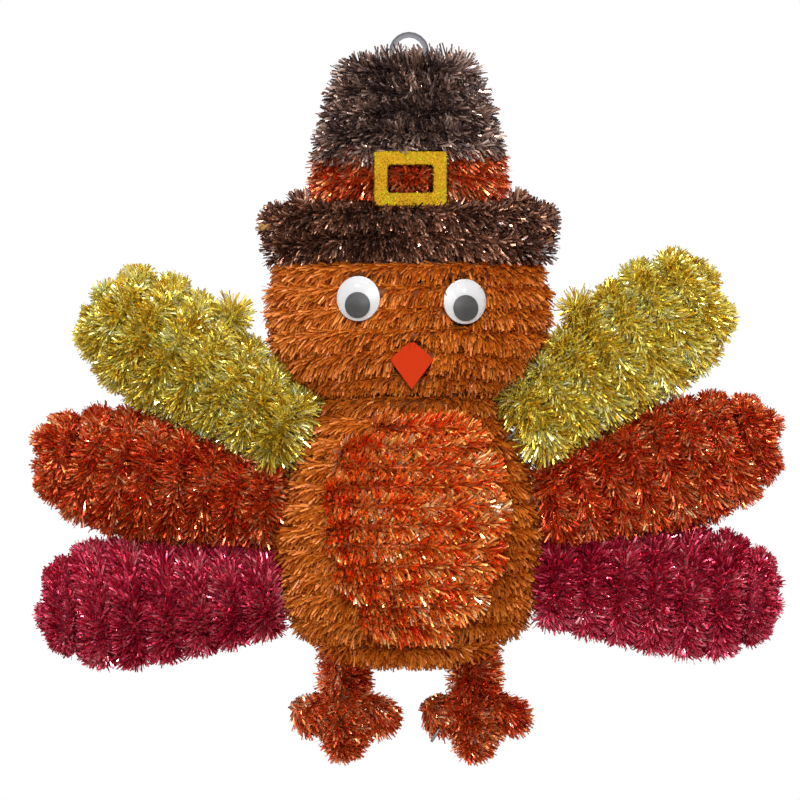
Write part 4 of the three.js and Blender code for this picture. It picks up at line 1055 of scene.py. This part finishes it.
def dome_profile(low, high):
    """A thin cap on a straight skirt with a flange round its foot, inside and outside."""
    outer = EYE_RADIUS - EYE_FLANGE
    inner = outer - EYE_WALL
    rim = low + EYE_FLANGE
    spring = low + EYE_SKIRT
    cap = [math.pi / 2 * i / CAP_STEPS for i in range(CAP_STEPS + 1)]
    inside = [(inner * math.cos(a), spring + (high - EYE_WALL - spring) * math.sin(a)) for a in cap]
    outside = [(outer * math.cos(a), spring + (high - spring) * math.sin(a)) for a in cap]
    inside[-1] = (0, high - EYE_WALL)
    outside[-1] = (0, high)
    foot = [
        (inner, low),
        (EYE_RADIUS, low),
        (EYE_RADIUS, rim - ROUNDED),
        (EYE_RADIUS - ROUNDED, rim),
        (outer, rim),
    ]
    return inside[::-1] + foot + outside


def stand_in(piece, node, body, material):
    """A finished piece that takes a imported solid's place on its body."""
    piece.data.materials.append(material)
    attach(piece, body)
    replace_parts(piece, node)


def moulding(name, dark, light, grain, roughness):
    """Moulded polystyrene gives the eye one even tone with the faintest flow marks and a soft shine."""
    material, tree = new_material(name)
    skin = add(tree, "ShaderNodeBsdfPrincipled", {
        "Base Color": mottled(tree, grain, dark, light)[1],
        "Roughness": roughness,
        "IOR": POLYSTYRENE_IOR,
    })
    add(tree, "ShaderNodeOutputMaterial", {"Surface": skin})
    return material


white_moulding = moulding("white_polystyrene", "E8E8EA", "F0F0F2", grain=4 * MM, roughness=0.35)
black_moulding = moulding("black_polystyrene", "121011", "1A1819", grain=2 * MM, roughness=0.5)
dome_plastic = clear_plastic("clear_pvc_dome", "F4F4F6", alpha=0.045, roughness=0.05, mirror=1.0)
for joint in frame["joints"]:
    side = joint["name"].split("_")[0]
    centre = Vector(joint["pos_m"])
    axis = Vector(joint["axis"]).normalized()
    spans = {}
    for node in (f"{side}_eye_back", f"{side}_eye_dome", f"{side}_pupil"):
        heights = [(point.co - centre).dot(axis) for point in nodes[node].data.vertices]
        spans[node] = (min(heights), max(heights))
    back, dome, pupil = spans
    middle = middle_of(pupil)
    pupil_centre = middle - axis * (middle - centre).dot(axis)
    disc = lathe(f"{back}_disc", disc_profile(EYE_RADIUS, *spans[back]), centre, axis)
    stand_in(disc, back, "figure", white_moulding)
    shell = lathe(f"{dome}_shell", dome_profile(*spans[dome]), centre, axis)
    stand_in(shell, dome, "figure", dome_plastic)
    disc = lathe(f"{pupil}_disc", disc_profile(PUPIL_RADIUS, *spans[pupil]), pupil_centre, axis)
    stand_in(disc, pupil, pupil, black_moulding)

# The beak: a kite cut from stiff orange-red felt and glued to the head.
# Felt gives the eye a flat, matt colour with a short nap and no highlight.
FELT_FIBRE = 0.35 * MM
FELT_NAP = 0.1 * MM
BEAK_EASE = 0.4 * MM
SEAM_MERGE = 0.01 * MM
FLAT_ANGLE = 0.02
SHARP_ANGLE = 0.6
EASE_STEPS = 3
felt, tree = new_material("orange_red_felt")
fibre, tone = mottled(tree, FELT_FIBRE, "C8320C", "D43A12", Detail=3.0)
nap = add(tree, "ShaderNodeBump", {"Height": fibre, "Strength": 0.3, "Distance": FELT_NAP})
cloth = add(tree, "ShaderNodeBsdfPrincipled", {
    "Base Color": tone,
    "Roughness": 0.95,
    "Specular IOR Level": 0.15,
    "Normal": nap,
})
add(tree, "ShaderNodeOutputMaterial", {"Surface": cloth})


def eased_copy(node, width):
    """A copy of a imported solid's mesh with its sharp edges rounded off."""
    rough = bmesh.new()
    rough.from_mesh(nodes[node].data)
    bmesh.ops.remove_doubles(rough, verts=rough.verts, dist=SEAM_MERGE)
    bmesh.ops.dissolve_limit(rough, angle_limit=FLAT_ANGLE, verts=rough.verts, edges=rough.edges)
    sharp = [edge for edge in rough.edges if edge.calc_face_angle(0) > SHARP_ANGLE]
    bmesh.ops.bevel(rough, geom=sharp, offset=width, segments=EASE_STEPS, profile=0.5, affect="EDGES")
    # A bevel leaves its corners in an order that changes from run to run, so the mesh is built again
    # with its corners and faces sorted by place.
    corners = sorted(rough.verts, key=lambda corner: tuple(corner.co))
    number = {corner: index for index, corner in enumerate(corners)}
    rings = []
    for face in rough.faces:
        ring = [number[corner] for corner in face.verts]
        first = ring.index(min(ring))
        rings.append(ring[first:] + ring[:first])
    shape = bmesh.new()
    points = [shape.verts.new(corner.co) for corner in corners]
    for ring in sorted(rings):
        shape.faces.new([points[index] for index in ring])
    rough.free()
    shape.normal_update()
    bmesh.ops.triangulate(shape, faces=shape.faces)
    bmesh.ops.recalc_face_normals(shape, faces=shape.faces)
    return mesh_object(f"{node}_eased", shape)


stand_in(eased_copy("beak", BEAK_EASE), "beak", "figure", felt)

# The hat's buckle: a frame cut from a foam sheet faced with gold glitter, glued over the band.
# The flakes lie at all angles, so gold, yellow and green sparkle side by side. They are drawn a little
# coarser than real glitter, so that they show.
BUCKLE_EASE = 0.5 * MM
FLAKE_SIZE = 0.75 * MM
FLAKES = 2.6e6
FLAKE_SIDES = 6
FLAKE_SEED = 61
FLAKE_TILT = 0.45
FLAKE_TURN = 6.28
FLAKE_PATCH = 9 * MM
FLAKE_PATCH_LOW = 0.35
FLAKE_PATCH_HIGH = 0.65
FLAKE_PATCH_SHARE = 0.55
FOAM_TINT = 0.2
FLAKE_SHADES = ("7A4C00", "9E7400", "AE8C04", "A2A204", "7E9204")
glitter, tree = new_material("gold_glitter_foam")
flake_colour = strand_colours(tree, FLAKE_SHADES)[2]
foam = add(tree, "ShaderNodeBsdfPrincipled", {"Base Color": flake_colour, "Metallic": 0.8, "Roughness": 0.5})
add(tree, "ShaderNodeOutputMaterial", {"Surface": foam})

tree, given = geometry_tree("glitter_flakes", {
    "Flakes per m2": "Float",
    "Seed": "Int",
    "Flake size": "Float",
    "Glitter": "Material",
})
sown = add(tree, "GeometryNodeDistributePointsOnFaces", {
    "Mesh": given["Geometry"],
    "Density": given["Flakes per m2"],
    "Seed": given["Seed"],
}).outputs
lowest = (-FLAKE_TILT, -FLAKE_TILT, 0)
highest = (FLAKE_TILT, FLAKE_TILT, FLAKE_TURN)
tilt = add(tree, RANDOM, {0: lowest, 1: highest, "Seed": 2}, data_type="FLOAT_VECTOR")
tilted = add(tree, "FunctionNodeRotateRotation", {0: sown["Rotation"], 1: tilt}, rotation_space="LOCAL")
own = add(tree, RANDOM, {2: 0.0, 3: 1.0, "Seed": 4}, data_type="FLOAT").outputs[1]
spot = add(tree, "GeometryNodeInputPosition")
hue = patchy(tree, spot, 1 / FLAKE_PATCH, FLAKE_PATCH_LOW, FLAKE_PATCH_HIGH, own, FLAKE_PATCH_SHARE)
coloured = {"Geometry": sown["Points"], "Name": "tint", "Value": hue}
points = add(tree, STORE, coloured, data_type="FLOAT", domain="POINT")
half = add(tree, MATH, {0: given["Flake size"], 1: 0.5}, operation="MULTIPLY")
hexagon = add(tree, "GeometryNodeMeshCircle", {"Vertices": FLAKE_SIDES, "Radius": half}, fill_type="NGON")
scattered = {"Points": points, "Instance": hexagon, "Rotation": tilted}
flakes = add(tree, "GeometryNodeInstanceOnPoints", scattered)
flakes = add(tree, "GeometryNodeRealizeInstances", {"Geometry": flakes})
plain = {"Geometry": given["Geometry"], "Name": "tint", "Value": FOAM_TINT}
sheet = add(tree, STORE, plain, data_type="FLOAT", domain="POINT")
finish_tree(tree, sheet, flakes, 0.5, ("tint",), given["Glitter"])
buckle = eased_copy("hat_buckle", BUCKLE_EASE)
plain_mesh(buckle, tree, {
    "Flakes per m2": FLAKES,
    "Seed": FLAKE_SEED,
    "Flake size": FLAKE_SIZE,
    "Glitter": glitter,
})
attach(buckle, "figure")
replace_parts(buckle, "hat_buckle")
